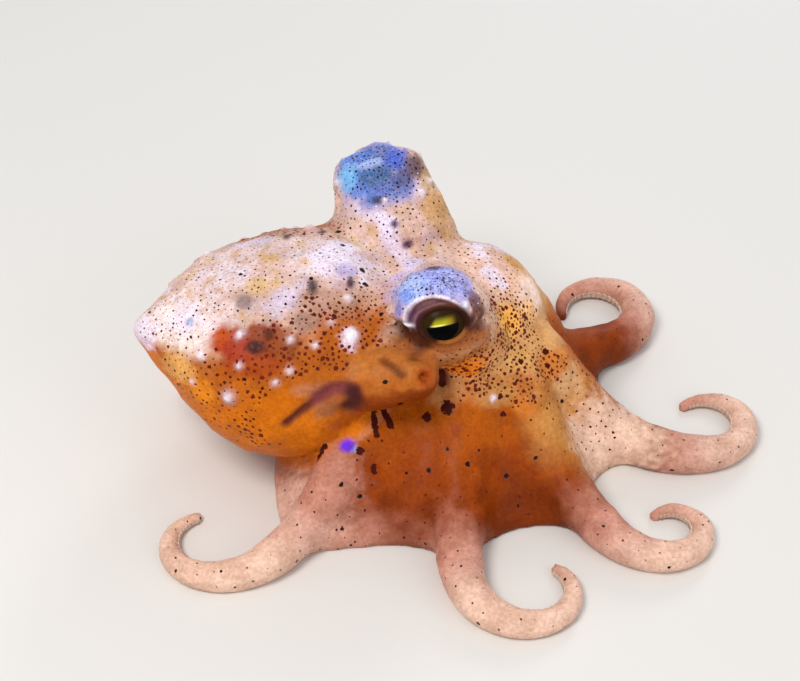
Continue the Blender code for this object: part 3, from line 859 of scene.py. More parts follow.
for name, eye in EYES.items():
    lid = lids[name]
    hood = HOODS[name]
    gaze, side, up = (np.array(v) for v in eye_frame(eye))
    from_mound = skin_at - np.array(eye.mound)
    out = from_mound / np.linalg.norm(from_mound, axis=1)[:, None]
    on_mound = falloff(3.2, 3.7, reach_of(eye.mound))
    sideways = out @ side + 0.16 * lumps[1.5] + 0.16 * lumps[0.7] + 0.14 * lumps[0.35]
    inwards = out @ gaze + 0.15 * lumps[0.7]
    cap = np.degrees(np.arccos(np.clip(out @ up, -1, 1))) + 13 * lumps[1.5] + 8 * lumps[0.35]

    # The hood, and its deeper middle.
    over_ridge = smoothstep(0.93, 0.98, lid.arch) * smoothstep(0.0, 0.3, lid.rise)
    outer = on_mound * np.where(lid.ahead > -0.15, over_ridge, 1.0)
    outer *= smoothstep(hood.back - 0.15, hood.back + 0.05, sideways)
    outer *= falloff(hood.fore - 0.05, hood.fore + 0.15, sideways)
    outer *= smoothstep(hood.inside, hood.inside + 0.2, inwards)
    wash(hood.rim, 0.9 * outer * falloff(58, 84, cap))
    inner = outer * smoothstep(hood.back, hood.back + 0.25, sideways)
    inner *= falloff(hood.fore - 0.2, hood.fore + 0.02, sideways)
    inner *= smoothstep(hood.inside + 0.1, hood.inside + 0.4, inwards)
    wash(hood.blue, inner * falloff(42, 64, cap) * (0.85 + 0.5 * lumps[0.35]))
    inner *= falloff(50, 74, cap)
    wash(hood.bright, inner * smoothstep(0.15, 0.45, 0.4 * lumps[0.7] - sideways))
    wash(hood.rim, outer * smoothstep(0.3, 0.7, lumps[0.7]) * 0.6)
    hooded = np.maximum(hooded, inner * hood.frost)

    # The dusky sides of the mound, with painted shade in plum towards the back, and the skin below
    # the eye.
    dusk = on_mound * smoothstep(-0.5, -0.15, lid.rise + 0.35 * smoothstep(0, 0.6, -lid.across))
    dusk *= smoothstep(0.15, 0.5, lid.ahead + 0.25 * lumps[0.7]) * (1 - outer)
    wash(DUSKY_SIDE, dusk * 0.9)
    wash(MAUVE, dusk * falloff(1.6, 2.2, lid.edge + 0.3 * lumps[0.7]))
    wash(PLUM_SHADE, dusk * smoothstep(0.4, 0.75, -lid.across) * 0.85)
    below = lid.close * falloff(-0.3, -0.05, lid.rise)
    wash(LID_FOOT, below * falloff(1.9, 2.6, lid.edge) * 0.9)
    wash(LOWER_LID, below * falloff(1.3, 1.95, lid.edge) * 0.95)

    # Painted shade in the dark corner behind the eye, the band, the white ridge with its pimples, and
    # the
    # rim of the opening: painted shade round it, brown along the lower lid.
    corner = lid.close * smoothstep(0.2, 0.5, -lid.across) * smoothstep(-0.62, -0.42, lid.rise)
    corner *= falloff(1.65, 2.0, lid.edge + 0.15 * lumps[0.7])
    wash(CORNER_SHADE, corner * falloff(0.0, 0.3, lid.rise) * 0.95)
    over_eye = lid.close * lid.above
    band = over_eye * smoothstep(1.25, 1.45, lid.edge) * falloff(0.86, 0.93, lid.arch)
    wash(LID_BAND, band * (0.62 + 0.35 * np.sin(lid.edge * FOLDS)))
    crest = over_eye * smoothstep(0.92, 0.95, lid.arch) * falloff(0.965, 1.01, lid.arch)
    crest *= 1 - 0.75 * smoothstep(0.1, 0.4, lid.across)
    crest *= 0.5 + 0.5 * smoothstep(-0.72, -0.42, lid.across)
    wash(RIDGE_WHITE, crest * (0.85 + 0.6 * lumps[0.35]))
    for (pimple_across, pimple_rise), _, width in LID_PIMPLES:
        off = np.hypot(lid.across - pimple_across, lid.rise - pimple_rise) / width
        wash(PIMPLE_WHITE, lid.close * np.exp(-(off**2)) * (lid.ahead > 0))
    rim = lid.close * falloff(1.08, 1.32, lid.edge)
    low = falloff(-0.15, 0.1, lid.rise) * smoothstep(-0.3, -0.1, lid.across)
    wash(RIM_SHADE, rim * (1 - 0.9 * low))
    wash(RIM_BROWN, rim * low * 0.85)

# Clearer blue at the back of the high hood and teal in its middle, then the near hood: lilac and
# sky blue at the back, a clear blue over the ridge, deeper on top.
HOOD_PATCHES = (
    ((-3.1, 4.9, 14.5), (0.8, 1.2, 0.9), (0.18, 0.50, 0.90), 0.95),
    ((-1.5, 4.4, 15.0), (1.3, 0.9, 0.9), TEAL, 0.9),
    ((-1.9, 5.3, 15.3), (1.3, 0.6, 0.5), (0.42, 0.55, 0.92), 0.8),
    ((-0.3, 5.5, 15.4), (0.8, 1.1, 0.6), (0.05, 0.12, 0.64), 0.9),
    ((-1.2, 3.4, 14.6), (0.7, 0.5, 0.5), (0.13, 0.21, 0.68), 0.8),
    ((0.2, 4.3, 14.9), (0.8, 0.8, 0.7), (0.045, 0.06, 0.20), 0.8),
    ((0.9, 5.3, 15.0), (0.8, 1.0, 0.9), (0.12, 0.07, 0.09), 0.85),
    ((1.8, 5.2, 14.2), (0.8, 1.0, 0.8), (0.52, 0.33, 0.15), 0.8),
    ((0.0, -1.8, 12.2), (0.7, 0.9, 0.7), (0.58, 0.48, 0.84), 0.8),
    ((0.9, -0.4, 12.05), (0.8, 0.9, 0.6), (0.66, 0.60, 0.94), 0.8),
    ((-0.3, -3.2, 12.6), (0.5, 1.1, 0.8), (0.56, 0.48, 0.76), 0.75),
    ((0.6, -4.2, 13.6), (0.8, 0.8, 0.5), (0.38, 0.50, 0.93), 0.8),
    ((0.4, -4.9, 13.35), (0.55, 0.55, 0.5), (0.12, 0.26, 0.85), 0.8),
    ((-0.2, -5.3, 12.7), (0.5, 0.6, 0.6), (0.24, 0.22, 0.56), 0.8),
    ((2.3, -4.2, 14.0), (0.8, 0.9, 0.5), (0.14, 0.17, 0.54), 0.75),
    ((4.1, -4.8, 13.1), (0.5, 0.6, 0.6), (0.13, 0.06, 0.12), 0.7),
)
SPECKLE_DARK = (0.04, 0.06, 0.34)
SPECKLE_PALE = (0.60, 0.66, 0.96)
for patch in HOOD_PATCHES:
    dab(*patch)
# Dark and pale speckles on the hoods; the pale ones are partly pale cells and partly painted
# highlights on small bumps.
wash(SPECKLE_DARK, hooded * smoothstep(0.14, 0.42, -lumps[0.35]) * 0.6)
wash(SPECKLE_PALE, hooded * smoothstep(0.16, 0.45, lumps[0.35]) * 0.3)

# Painted shadow, tinted purple, in the slit, painted shade in the crease on the funnel, and the glow
# inside its mouth.
SLIT_SHADES = ((0.12, 0.022, 0.018), (0.20, 0.04, 0.045), (0.06, 0.012, 0.014))
for (line, width), tone in zip(SLIT_ARMS, SLIT_SHADES):
    wash(tone, nearness_to_line(line, width) * 0.93)
FUNNEL_CREASE = ((-0.95, -7.3, 10.65), (-0.45, -7.75, 10.6), (0.1, -8.15, 10.35))
CREASE_SHADE = (0.14, 0.028, 0.003)
LIP_ORANGE = (0.42, 0.075, 0.006)
MOUTH_RED = (0.20, 0.008, 0.002)
wash(CREASE_SHADE, nearness_to_line(FUNNEL_CREASE, 0.42) * 0.85)
dab(funnel_lip, 0.75, LIP_ORANGE, 0.9, 0.15)
dab(funnel_lip, 0.42, MOUTH_RED, 0.9, 0.15)

# Small marks, mostly dark; two of them are painted light: (place, radii, colour, strength).
MARKS = (
    # Painted shade: the shadow in the gap behind the funnel's tip, copied to the other side as well.
    ((2.4, -5.3, 7.8), (0.5, 0.9, 0.9), (0.12, 0.012, 0.004), 0.9),
    ((3.25, -7.5, 5.6), (0.3, 0.4, 0.4), (0.26, 0.03, 0.004), 0.6),
    ((7.3, -7.6, 4.4), (0.5, 0.5, 0.4), (0.24, 0.04, 0.01), 0.6),
    # A painted highlight: a pale blue glint beside the violet spot.
    ((-2.6, -8.5, 5.1), (0.22, 0.3, 0.3), (0.35, 0.55, 0.85), 0.8),
    ((0.5, 1.1, 12.4), (0.38, 0.3, 0.3), (0.05, 0.012, 0.07), 0.95),
    ((-1.3, 3.0, 14.2), (0.42, 0.3, 0.3), (0.02, 0.03, 0.14), 0.95),
    ((1.85, -2.8, 13.7), (0.5, 0.5, 0.34), (0.025, 0.012, 0.09), 1.0),
    ((-0.3, 1.6, 13.5), (0.26, 0.3, 0.3), (0.05, 0.03, 0.14), 1.0),
    ((-4.9, -3.7, 13.1), (0.32, 0.75, 0.5), (0.07, 0.035, 0.035), 0.95),
    ((-2.8, -3.0, 12.8), (0.28, 0.5, 0.4), (0.07, 0.03, 0.04), 0.95),
    ((-8.7, -4.6, 12.7), (0.6, 0.6, 0.4), (0.24, 0.17, 0.18), 0.75),
    ((-8.0, -6.9, 11.3), (0.6, 0.5, 0.4), DARK, 0.95),
    ((-7.3, -6.4, 11.8), (0.4, 0.4, 0.4), DARK, 0.6),
    ((-11.8, -5.0, 11.6), 0.34, (0.30, 0.38, 0.62), 0.8),
)
for place, radii, colour, strength in both_sides(MARKS):
    dab(place, radii, colour, strength, 0.2)
dab((-3.0, -8.4, 5.3), (0.55, 0.5, 0.42), VIOLET, 1.0, 0.15)
wash(MILKY, white_pimple * (0.85 + 0.7 * lumps[0.35]))


# ---- The skin's dots
# Thousands of pigment sacs dot the skin: black and pin-sized on top, larger and brown on the
# flanks and cheeks, few and large on the web. Each is a round mark of its own size and colour.

BLACK_DOT = (0.010, 0.004, 0.006)
BROWN_DOT = (0.105, 0.009, 0.002)
RUST_DOT = (0.18, 0.018, 0.004)
WHITE_DOT = (0.90, 0.86, 0.98)
FADED = (0.06, 0.012, 0.01)
PIN = 0.05
NONE = 9.0

# No dots grow on the funnel, round the slit or on the lids.
by_slit = reach_of((-4.0, -8.6, 7.6), (3.2, 2.0, 2.4))
calm = np.maximum(is_funnel, falloff(1.1, 1.4, by_slit))
for lid in lids.values():
    on_lid = lid.close * falloff(1.5, 1.9, lid.edge) * falloff(0.95, 1.05, lid.arch)
    calm = np.maximum(calm, on_lid)

dot_gap = np.full(len(skin_at), NONE)
dot_size = np.full(len(skin_at), PIN)
dot_rust = np.zeros(len(skin_at))
white_share = np.zeros(len(skin_at))


def dotted(where, gap, size, rust):
    """Sets the dots' spacing, radius and redness where the mask is over a half."""
    chosen = where > 0.5
    dot_gap[chosen] = gap
    dot_size[chosen] = size
    dot_rust[chosen] = rust


head_top = smoothstep(9.2, 10.6, z + 0.8 * lumps[1.5])
flank = is_mantle * (lift < border + 8) * (lift > border - 62) * (along_mantle < 0.9)
dotted(from_crown > 8.5, 0.75, 0.05, 0.3)
dotted(off_ground * (z < 7.5) * (from_crown <= 9.5), 1.2, 0.05, 0.8)
for slope in pair((10.4, -3.8, 4.4)):
    dotted(falloff(0.9, 1.3, reach_of(slope, (3.4, 2.6, 3.2))), 0.42, 0.055, 0.1)
dotted(head_top, 0.31, PIN, 0.05)
dotted(is_mantle * (lift > border), 0.28, 0.044, 0.05)
dotted(flank * (along_mantle > 0.62), 0.36, 0.074, 0.5)
dotted(flank * (along_mantle > 0.8), 0.3, 0.052, 0.3)
dotted(flank * (along_mantle <= 0.62), 0.27, 0.095, 0.6)
dotted(flank * (along_mantle < 0.25) * (lift > border - 22), 0.23, 0.07, 0.45)
for cheek in pair((6.2, -3.0, 8.8)):
    reach = reach_of(cheek, (3.2, 3.2, 3.4)) + 0.2 * lumps[1.5]
    dotted(falloff(0.9, 1.2, reach), 0.26, 0.068, 0.45)

# Clusters of large dots: (place, radius).
CLUSTERS = (
    ((6.2, -2.5, 9.5), 1.8),
    ((4.0, -5.3, 8.4), 1.8),
    ((8.8, -3.2, 6.8), 1.2),
    ((7.0, -5.6, 6.4), 1.0),
)
for place, radius in both_sides(CLUSTERS):
    reach = reach_of(place, radius) + 0.2 * lumps[0.7]
    dotted(falloff(0.9, 1.2, reach), 0.2, 0.096, 0.65)
for eye in EYES.values():
    from_top = reach_of(eye.mound + eye_frame(eye)[2] * 2.6)
    dotted(falloff(2.0, 2.6, from_top), 0.22, 0.053, 0.0)
    # A few white dots round each hood's top: white pimples, partly painted highlights on them.
    white_share[(from_top > 1.5) & (from_top < 3.2)] = 0.07
dot_gap = np.where(dot_gap < NONE, dot_gap * (1 + 0.4 * lumps[1.5]), NONE)
dot_gap[(calm > 0.5) | (z < 0.1)] = NONE

# Single spots: (place, radius).
SPOTS = (
    ((2.7, -6.4, 6.4), 0.38),
    ((1.6, -6.4, 5.6), 0.27),
    ((5.75, -5.6, 6.5), 0.16),
    ((5.9, -6.1, 5.6), 0.18),
    ((7.0, -4.0, 7.8), 0.18),
    ((8.5, -2.7, 7.4), 0.19),
    ((8.5, -3.3, 6.8), 0.2),
    ((9.5, -4.0, 4.7), 0.12),
    ((-0.8, -8.3, 10.0), 0.13),
    ((1.7, -8.8, 3.7), 0.13),
    ((3.8, -8.9, 4.2), 0.15),
    ((6.1, -8.3, 2.8), 0.14),
    ((7.8, -7.8, 3.7), 0.12),
    ((-3.3, -10.1, 3.8), 0.15),
    ((-2.3, -9.9, 2.7), 0.13),
    ((-3.3, -11.1, 1.3), 0.12),
    ((-3.6, 2.2, 12.3), 0.16),
    ((-3.3, 0.3, 13.0), 0.15),
    ((-2.1, -1.6, 12.6), 0.17),
    ((-3.8, 4.1, 11.1), 0.13),
    ((-2.25, -8.55, 4.95), 0.26),
    ((0.0, -8.5, 8.5), 0.15),
    ((2.7, -8.2, 4.8), 0.09),
)

# Long dark marks, each a row of spots: (one end, the other end, radius).
ROWS = (
    ((-1.55, -6.5, 6.1), (-1.35, -7.6, 5.35), 0.19),
    ((-0.95, -6.2, 6.0), (-0.55, -6.95, 5.5), 0.21),
    ((2.36, -5.3, 8.2), (2.45, -5.4, 7.3), 0.2),
    ((-4.3, -8.1, 4.9), (-4.75, -8.05, 3.7), 0.17),
    ((-1.5, -8.85, 4.05), (-1.42, -9.1, 3.8), 0.16),
)

# A chance point in each face is where a dot may grow. The spots go first, then a few large dots
# far apart, and then the fine ones.
sown = random.Random(11)
chances = []
chance_tree = KDTree(len(skin_mesh.polygons))
for face in skin_mesh.polygons:
    shares = np.array([sown.random() for _ in face.vertices])
    place = shares @ skin_at[list(face.vertices)] / shares.sum()
    chances.append((place, face.vertices[0]))
    chance_tree.insert(place, face.index)
chance_tree.balance()
taken = np.zeros(len(chances), bool)
sacs = []


def claim(place, room):
    """Keeps the skin round a dot free of others."""
    for _, k, _ in chance_tree.find_range(Vector(place), room):
        taken[k] = True


spots = list(SPOTS)
for start, end, radius in ROWS:
    start = Vector(start)
    steps = round((start - Vector(end)).length / (0.5 * radius))
    spots += [(tuple(start.lerp(Vector(end), k / steps)), radius) for k in range(steps + 1)]
surface = BVHTree.FromPolygons(skin_at.tolist(), [f.vertices[:] for f in skin_mesh.polygons])
for place, radius in both_sides(spots):
    nearest = surface.find_nearest(Vector(place))[0]
    colour = MAROON if radius > 0.15 and place[2] < 9 else BLACK_DOT
    sacs.append((*nearest, radius, *colour))
    claim(nearest, radius + 0.25)
order = list(range(len(chances)))
sown.shuffle(order)
for k in order:
    place, v = chances[k]
    plain = calm[v] < 0.3 and white_pimple[v] < 0.1 and z[v] > 0.2
    if plain and not taken[k] and (z[v] < 8 or is_mantle[v] > 0.5):
        sacs.append((*place, sown.uniform(0.07, 0.12), *BLACK_DOT))
        claim(place, sown.uniform(2.2, 4.2))
taken[:] = False
for *place, radius, _, _, _ in sacs:
    claim(place, radius + 0.15)
for k in order:
    place, v = chances[k]
    if taken[k] or dot_gap[v] == NONE or white_pimple[v] > 0.15:
        continue
    rust = dot_rust[v] * sown.uniform(0.5, 1.5)
    brown = min(1, 2 * rust)
    redder = max(0, rust - 0.5)
    colour = np.array(BLACK_DOT) * (1 - brown) + np.array(BROWN_DOT) * brown
    colour = colour * (1 - redder) + np.array(RUST_DOT) * redder
    colour = colour + np.array(FADED) * sown.random() ** 3
    if sown.random() < white_share[v]:
        colour = np.array(WHITE_DOT)
    radius = dot_size[v] * (0.55 + 0.95 * sown.random() ** 1.6)
    sacs.append((*place, radius, *colour))
    claim(place, dot_gap[v] * sown.uniform(0.85, 1.25))

# Every face keeps the three dots nearest to it, so that the surface can draw them sharply.
sacs = np.array(sacs)
sac_tree = KDTree(len(sacs))
for k, sac in enumerate(sacs):
    sac_tree.insert(sac[:3], k)
sac_tree.balance()
nearest_sacs = np.zeros((3, len(skin_mesh.polygons)), int)
for face in skin_mesh.polygons:
    found = sac_tree.find_n(face.center, 6)
    found.sort(key=lambda hit: hit[2] - sacs[hit[1]][3])
    nearest_sacs[:, face.index] = [hit[1] for hit in found[:3]]


def whiteness(colours):
    return smoothstep(0.42, 0.62, colours.min(axis=1))


def store(mesh, name, values, domain):
    """Keeps a colour or a place for each point or face of the mesh."""
    kind, field = ("FLOAT_COLOR", "color") if values.shape[1] == 4 else ("FLOAT_VECTOR", "vector")
    layer = mesh.attributes.new(name, kind, domain)
    layer.data.foreach_set(field, values.astype(np.float32).ravel())


# The white grain: pale specks in white skin, and on the hoods pale flecks that are partly painted
# highlights on small bumps.
grain = np.maximum(whiteness(pigment), 0.6 * hooded)
store(skin_mesh, "pigment", np.column_stack([pigment, grain]), "POINT")
in_frame = np.array([TO_FRAME @ Vector(place) for place in sacs[:, :3]])
for turn, chosen in enumerate(nearest_sacs):
    store(skin_mesh, f"sac place {turn}", in_frame[chosen], "FACE")
    store(skin_mesh, f"sac look {turn}", sacs[:, [4, 5, 6, 3]][chosen], "FACE")


def new_node(tree, kind, **settings):
    node = tree.nodes.new(kind)
    for key, value in settings.items():
        setattr(node, key, value)
    return node


class Wiring:
    """Short ways to add nodes to one tree."""

    def __init__(self, tree):
        self.tree = tree
        self.link = tree.links.new

    def feed(self, socket, value):
        if isinstance(value, tuple):
            socket.default_value = (*value, 1.0)
        elif isinstance(value, (int, float)):
            socket.default_value = value
        else:
            self.link(value, socket)

    def math(self, operation, a, b=0.5):
        node = new_node(self.tree, "ShaderNodeMath", operation=operation)
        self.feed(node.inputs[0], a)
        self.feed(node.inputs[1], b)
        return node.outputs[0]

    def plus(self, a, b):
        return self.math("ADD", a, b)

    def minus(self, a, b):
        return self.math("SUBTRACT", a, b)

    def times(self, a, b):
        return self.math("MULTIPLY", a, b)

    def mix(self, share, a, b, blend="MIX"):
        node = new_node(self.tree, "ShaderNodeMix", data_type="RGBA", blend_type=blend)
        for socket, value in ((node.inputs[0], share), (node.inputs[6], a), (node.inputs[7], b)):
            self.feed(socket, value)
        return node.outputs[2]

    def ramp(self, value, low, high):
        node = new_node(self.tree, "ShaderNodeMapRange", interpolation_type="SMOOTHSTEP")
        self.feed(node.inputs["From Min"], low)
        self.feed(node.inputs["From Max"], high)
        self.feed(node.inputs["Value"], value)
        return node.outputs["Result"]

    def noise(self, where, size, detail=3.0):
        """Clouds of the given size in millimetres."""
        node = new_node(self.tree, "ShaderNodeTexNoise")
        node.inputs["Scale"].default_value = 1 / (size * MM)
        node.inputs["Detail"].default_value = detail
        node.inputs["Roughness"].default_value = 0.55
        self.link(where, node.inputs["Vector"])
        return node.outputs["Fac"]


VALUE = "NodeSocketFloat"
COLOUR = "NodeSocketColor"
PLACE = "NodeSocketVector"


def new_group(name, inputs, outputs):
    """A node group with its sockets, its wiring, its two ends and the Object coordinates."""
    group = bpy.data.node_groups.new(name, "ShaderNodeTree")
    for way, sockets in (("INPUT", inputs), ("OUTPUT", outputs)):
        for socket, kind in sockets.items():
            group.interface.new_socket(socket, in_out=way, socket_type=kind)
    given = new_node(group, "NodeGroupInput").outputs
    made = new_node(group, "NodeGroupOutput").inputs
    where = new_node(group, "ShaderNodeTexCoord").outputs["Object"]
    return group, Wiring(group), given, made, where


def skin_tone():
    """Node group: pigment made uneven, with white grain, and the fine relief of wet skin."""
    group, wire, given, made, where = new_group(
        "skin tone",
        {"Pigment": COLOUR, "Grain": VALUE},
        {"Colour": COLOUR, "Roughness": VALUE, "Height": VALUE},
    )
    clouds = wire.ramp(wire.noise(where, 1.3, 4.0), 0.32, 0.68)
    cloud_tint = wire.mix(clouds, (0.86, 0.80, 0.76), (1.08, 1.08, 1.08))
    colour = wire.mix(1.0, given["Pigment"], cloud_tint, "MULTIPLY")
    freckles = wire.ramp(wire.noise(where, 0.22, 2.0), 0.3, 0.7)
    freckle_tint = wire.mix(freckles, (0.88, 0.84, 0.82), (1.08, 1.09, 1.10))
    colour = wire.mix(1.0, colour, freckle_tint, "MULTIPLY")
    flecks = wire.ramp(wire.noise(where, 0.13, 2.0), 0.42, 0.62)
    grain = wire.times(wire.times(given["Grain"], flecks), 0.55)
    wire.link(wire.mix(grain, colour, (0.93, 0.90, 1.0)), made["Colour"])
    wire.link(wire.plus(wire.times(clouds, 0.12), 0.4), made["Roughness"])
    pebbles = new_node(group, "ShaderNodeTexVoronoi", feature="F1")
    pebbles.inputs["Scale"].default_value = 1 / (0.28 * MM)
    wire.link(where, pebbles.inputs["Vector"])
    relief = wire.times(pebbles.outputs["Distance"], -0.5)
    relief = wire.plus(relief, wire.noise(where, 0.12))
    relief = wire.plus(relief, wire.times(wire.noise(where, 0.7), 1.4))
    wire.link(relief, made["Height"])
    return group


def sac_waver():
    """Node group: fine and coarse clouds, from -0.5 to 0.5, that make the dots' edges waver."""
    group, wire, _, made, where = new_group("sac waver", {}, {"Fine": VALUE, "Coarse": VALUE})
    for socket, size in (("Fine", 0.1), ("Coarse", 0.3)):
        wire.link(wire.minus(wire.noise(where, size, 1.0), 0.5), made[socket])
    return group


def sac_mark():
    """Node group: the mask of one dot, round but for a wavering edge."""
    group, wire, given, made, where = new_group(
        "sac mark",
        {"Place": PLACE, "Radius": VALUE, "Fine": VALUE, "Coarse": VALUE},
        {"Mask": VALUE},
    )
    apart = new_node(group, "ShaderNodeVectorMath", operation="DISTANCE")
    wire.link(where, apart.inputs[0])
    wire.link(given["Place"], apart.inputs[1])
    distance = wire.times(apart.outputs["Value"], 1 / MM)
    small = wire.math("MINIMUM", given["Radius"], 0.12)
    fine = wire.times(given["Fine"], wire.times(small, 1.6))
    coarse = wire.times(given["Coarse"], wire.times(given["Radius"], 1.3))
    shifted = wire.plus(distance, wire.plus(fine, coarse))
    size = wire.math("DIVIDE", shifted, given["Radius"])
    wire.link(wire.minus(1.0, wire.ramp(size, 0.88, 1.12)), made["Mask"])
    return group


def new_material(name):
    """A material, its node tree, its wiring and its shader."""
    material = bpy.data.materials.new(name)
    material.use_nodes = True
    tree = material.node_tree
    return material, tree, Wiring(tree), tree.nodes["Principled BSDF"]


def octopus_skin():
    """Moist, faintly see-through skin that takes its colour from the pigment and the dots."""
    material, tree, wire, shader = new_material("octopus skin")
    layer = new_node(tree, "ShaderNodeAttribute", attribute_name="pigment")
    tone = new_node(tree, "ShaderNodeGroup", node_tree=skin_tone())
    wire.link(layer.outputs["Color"], tone.inputs["Pigment"])
    wire.link(layer.outputs["Alpha"], tone.inputs["Grain"])
    colour = tone.outputs["Colour"]
    waver = new_node(tree, "ShaderNodeGroup", node_tree=sac_waver())
    mark_group = sac_mark()
    for turn in (2, 1, 0):
        place = new_node(tree, "ShaderNodeAttribute", attribute_name=f"sac place {turn}")
        look = new_node(tree, "ShaderNodeAttribute", attribute_name=f"sac look {turn}")
        mark = new_node(tree, "ShaderNodeGroup", node_tree=mark_group)
        wire.link(place.outputs["Vector"], mark.inputs["Place"])
        wire.link(look.outputs["Alpha"], mark.inputs["Radius"])
        wire.link(waver.outputs["Fine"], mark.inputs["Fine"])
        wire.link(waver.outputs["Coarse"], mark.inputs["Coarse"])
        colour = wire.mix(mark.outputs["Mask"], colour, look.outputs["Color"])
    bump = new_node(tree, "ShaderNodeBump")
    bump.inputs["Strength"].default_value = 0.6
    bump.inputs["Distance"].default_value = 0.04 * MM
    wire.link(colour, shader.inputs["Base Color"])
    wire.link(tone.outputs["Roughness"], shader.inputs["Roughness"])
    wire.link(tone.outputs["Height"], bump.inputs["Height"])
    wire.link(bump.outputs["Normal"], shader.inputs["Normal"])
    shader.inputs["Specular IOR Level"].default_value = 0.09
    shader.inputs["Subsurface Weight"].default_value = 0.1
    shader.inputs["Subsurface Radius"].default_value = (1.0, 0.38, 0.16)
    shader.inputs["Subsurface Scale"].default_value = 0.5 * MM
    shader.inputs["Coat Weight"].default_value = 0.025
    shader.inputs["Coat Roughness"].default_value = 0.25
    return material


def finished(name, mesh, material, *nodes):
    """Puts a mesh drawn in millimetres into the frame as a piece that rides on the body."""
    mesh.transform(TO_FRAME)
    mesh.materials.clear()
    mesh.materials.append(material)
    mesh.shade_smooth()
    piece = linked(name, mesh)
    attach(piece, "root")
    if nodes:
        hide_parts(*nodes)
    return piece


skin_nodes = [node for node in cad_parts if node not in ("eye_right", "eye_left")]
skin = finished("skin", skin_mesh, octopus_skin(), *skin_nodes)


# ---- The eyes
# Firm wet globes behind the lids: a wide black pupil with a straight top, a yellow-green iris
# above it with a painted glint along the pupil's edge, and a dark rim under the lids that is
# partly the iris's own dark and partly painted shade from the lids.


def eyeball(eye):
    """A ball that stores each point's place across, above and ahead in the eye's own frame."""
    mesh = ball(Vector((1, 1, 1)) * EYEBALL_RADIUS, Vector(), around=96, rings=64)
    gaze, side, up = eye_frame(eye)
    store(mesh, "look", points_of(mesh) @ np.array([side, up, gaze]).T / EYEBALL_RADIUS, "POINT")
    mesh.transform(Matrix.Translation(eyeball_centre(eye)))
    return mesh


def eye_surface():
    """The painted globe: black pupil, yellow iris with fine streaks and a painted glint, dark rim
    partly painted lid shade.
    """
    material, tree, wire, shader = new_material("eye")
    look = new_node(tree, "ShaderNodeAttribute", attribute_name="look")
    axes = new_node(tree, "ShaderNodeSeparateXYZ")
    wire.link(look.outputs["Vector"], axes.inputs[0])
    across, rise = axes.outputs["X"], axes.outputs["Y"]

    def oval(middle, half):
        """Distance from the middle of an oval, 1 on its edge."""
        sideways = wire.math("DIVIDE", wire.minus(across, middle[0]), half[0])
        upwards = wire.math("DIVIDE", wire.minus(rise, middle[1]), half[1])
        squares = wire.plus(wire.math("POWER", sideways, 2), wire.math("POWER", upwards, 2))
        return wire.math("SQRT", squares)

    def within(value, edge, soft):
        return wire.minus(1.0, wire.ramp(value, edge - soft, edge + soft))

    def stripe(value, middle, half, soft):
        """A soft-edged stripe about the middle value."""
        return within(wire.math("ABSOLUTE", wire.minus(value, middle)), half, soft)

    # The pupil's top is a straight line that climbs a little towards the front.
    brow_line = wire.plus(wire.times(across, 0.14), 0.176)
    above_line = wire.minus(rise, brow_line)
    in_oval = within(oval((-0.08, 0.165), (0.45, 0.43)), 1.0, 0.03)
    pupil = wire.times(within(above_line, 0.0, 0.012), in_oval)

    # The iris is bright just above that line and dark higher up, that dark partly its own and partly
    # painted shade from the upper lid; olive towards the front, with fine streaks and a painted glint
    # on its edge.
    streaks = new_node(tree, "ShaderNodeTexNoise")
    streaks.inputs["Scale"].default_value = 16.0
    streaks.inputs["Detail"].default_value = 4.0
    wire.link(look.outputs["Vector"], streaks.inputs["Vector"])
    depth = wire.plus(wire.times(wire.ramp(across, -0.52, -0.22), 0.21), 0.04)
    glow = within(wire.math("DIVIDE", above_line, depth), 0.7, 0.45)
    glow = wire.times(glow, wire.ramp(above_line, -0.05, 0.0))
    glow = wire.times(glow, stripe(across, -0.06, 0.31, 0.09))
    iris = wire.mix(glow, (0.020, 0.011, 0.004), (0.46, 0.42, 0.015))
    olive = wire.mix(glow, (0.016, 0.008, 0.003), (0.24, 0.12, 0.012))
    iris = wire.mix(wire.ramp(across, -0.02, 0.3), iris, olive)
    iris = wire.mix(wire.times(streaks.outputs["Fac"], 0.35), iris, (0.07, 0.038, 0.006))
    # The painted glint: a thin bright line along the pupil's top edge.
    line = wire.times(stripe(above_line, 0.03, 0.018, 0.02), stripe(across, -0.2, 0.17, 0.1))
    iris = wire.mix(line, iris, (0.90, 0.85, 0.25))
    wire.link(wire.mix(pupil, iris, (0.001, 0.001, 0.0015)), shader.inputs["Base Color"])
    shader.inputs["Roughness"].default_value = 0.3
    shader.inputs["Specular IOR Level"].default_value = 0.02
    shader.inputs["Coat Weight"].default_value = 0.02
    shader.inputs["Coat Roughness"].default_value = 0.04
    return material


eye_material = eye_surface()
for name, eye in EYES.items():
    globe = finished(f"eyeball_{name}", eyeball(eye), eye_material, f"eye_{name}")


# ---- The suckers
# Two rows of pale muscular cups that grow from the underside of each arm. They face the ground at
# the web and turn to the inner side of the curl towards the tip.

ROW_ANGLE = 27
ROLL_AT_WEB = -78
ROLL_TURN = 62
CUP_SPACING = 2.15
CUP_SINK = 0.02
CUP_CLEARANCE = 0.02


def sucker_form():
    """One cup of unit radius about the origin, its mouth towards +Z."""
    bm = bmesh.new()
    bmesh.ops.create_cone(bm, cap_ends=True, segments=10, radius1=0.8, radius2=1.0, depth=0.7)
    top = max(bm.faces, key=lambda f: f.calc_center_median().z)
    bmesh.ops.inset_region(bm, faces=[top], thickness=0.32, depth=0.0)
    bmesh.ops.translate(bm, verts=top.verts, vec=(0, 0, -0.42))
    bmesh.ops.inset_region(bm, faces=[top], thickness=0.3, depth=0.12)
    return as_mesh(bm, "sucker")


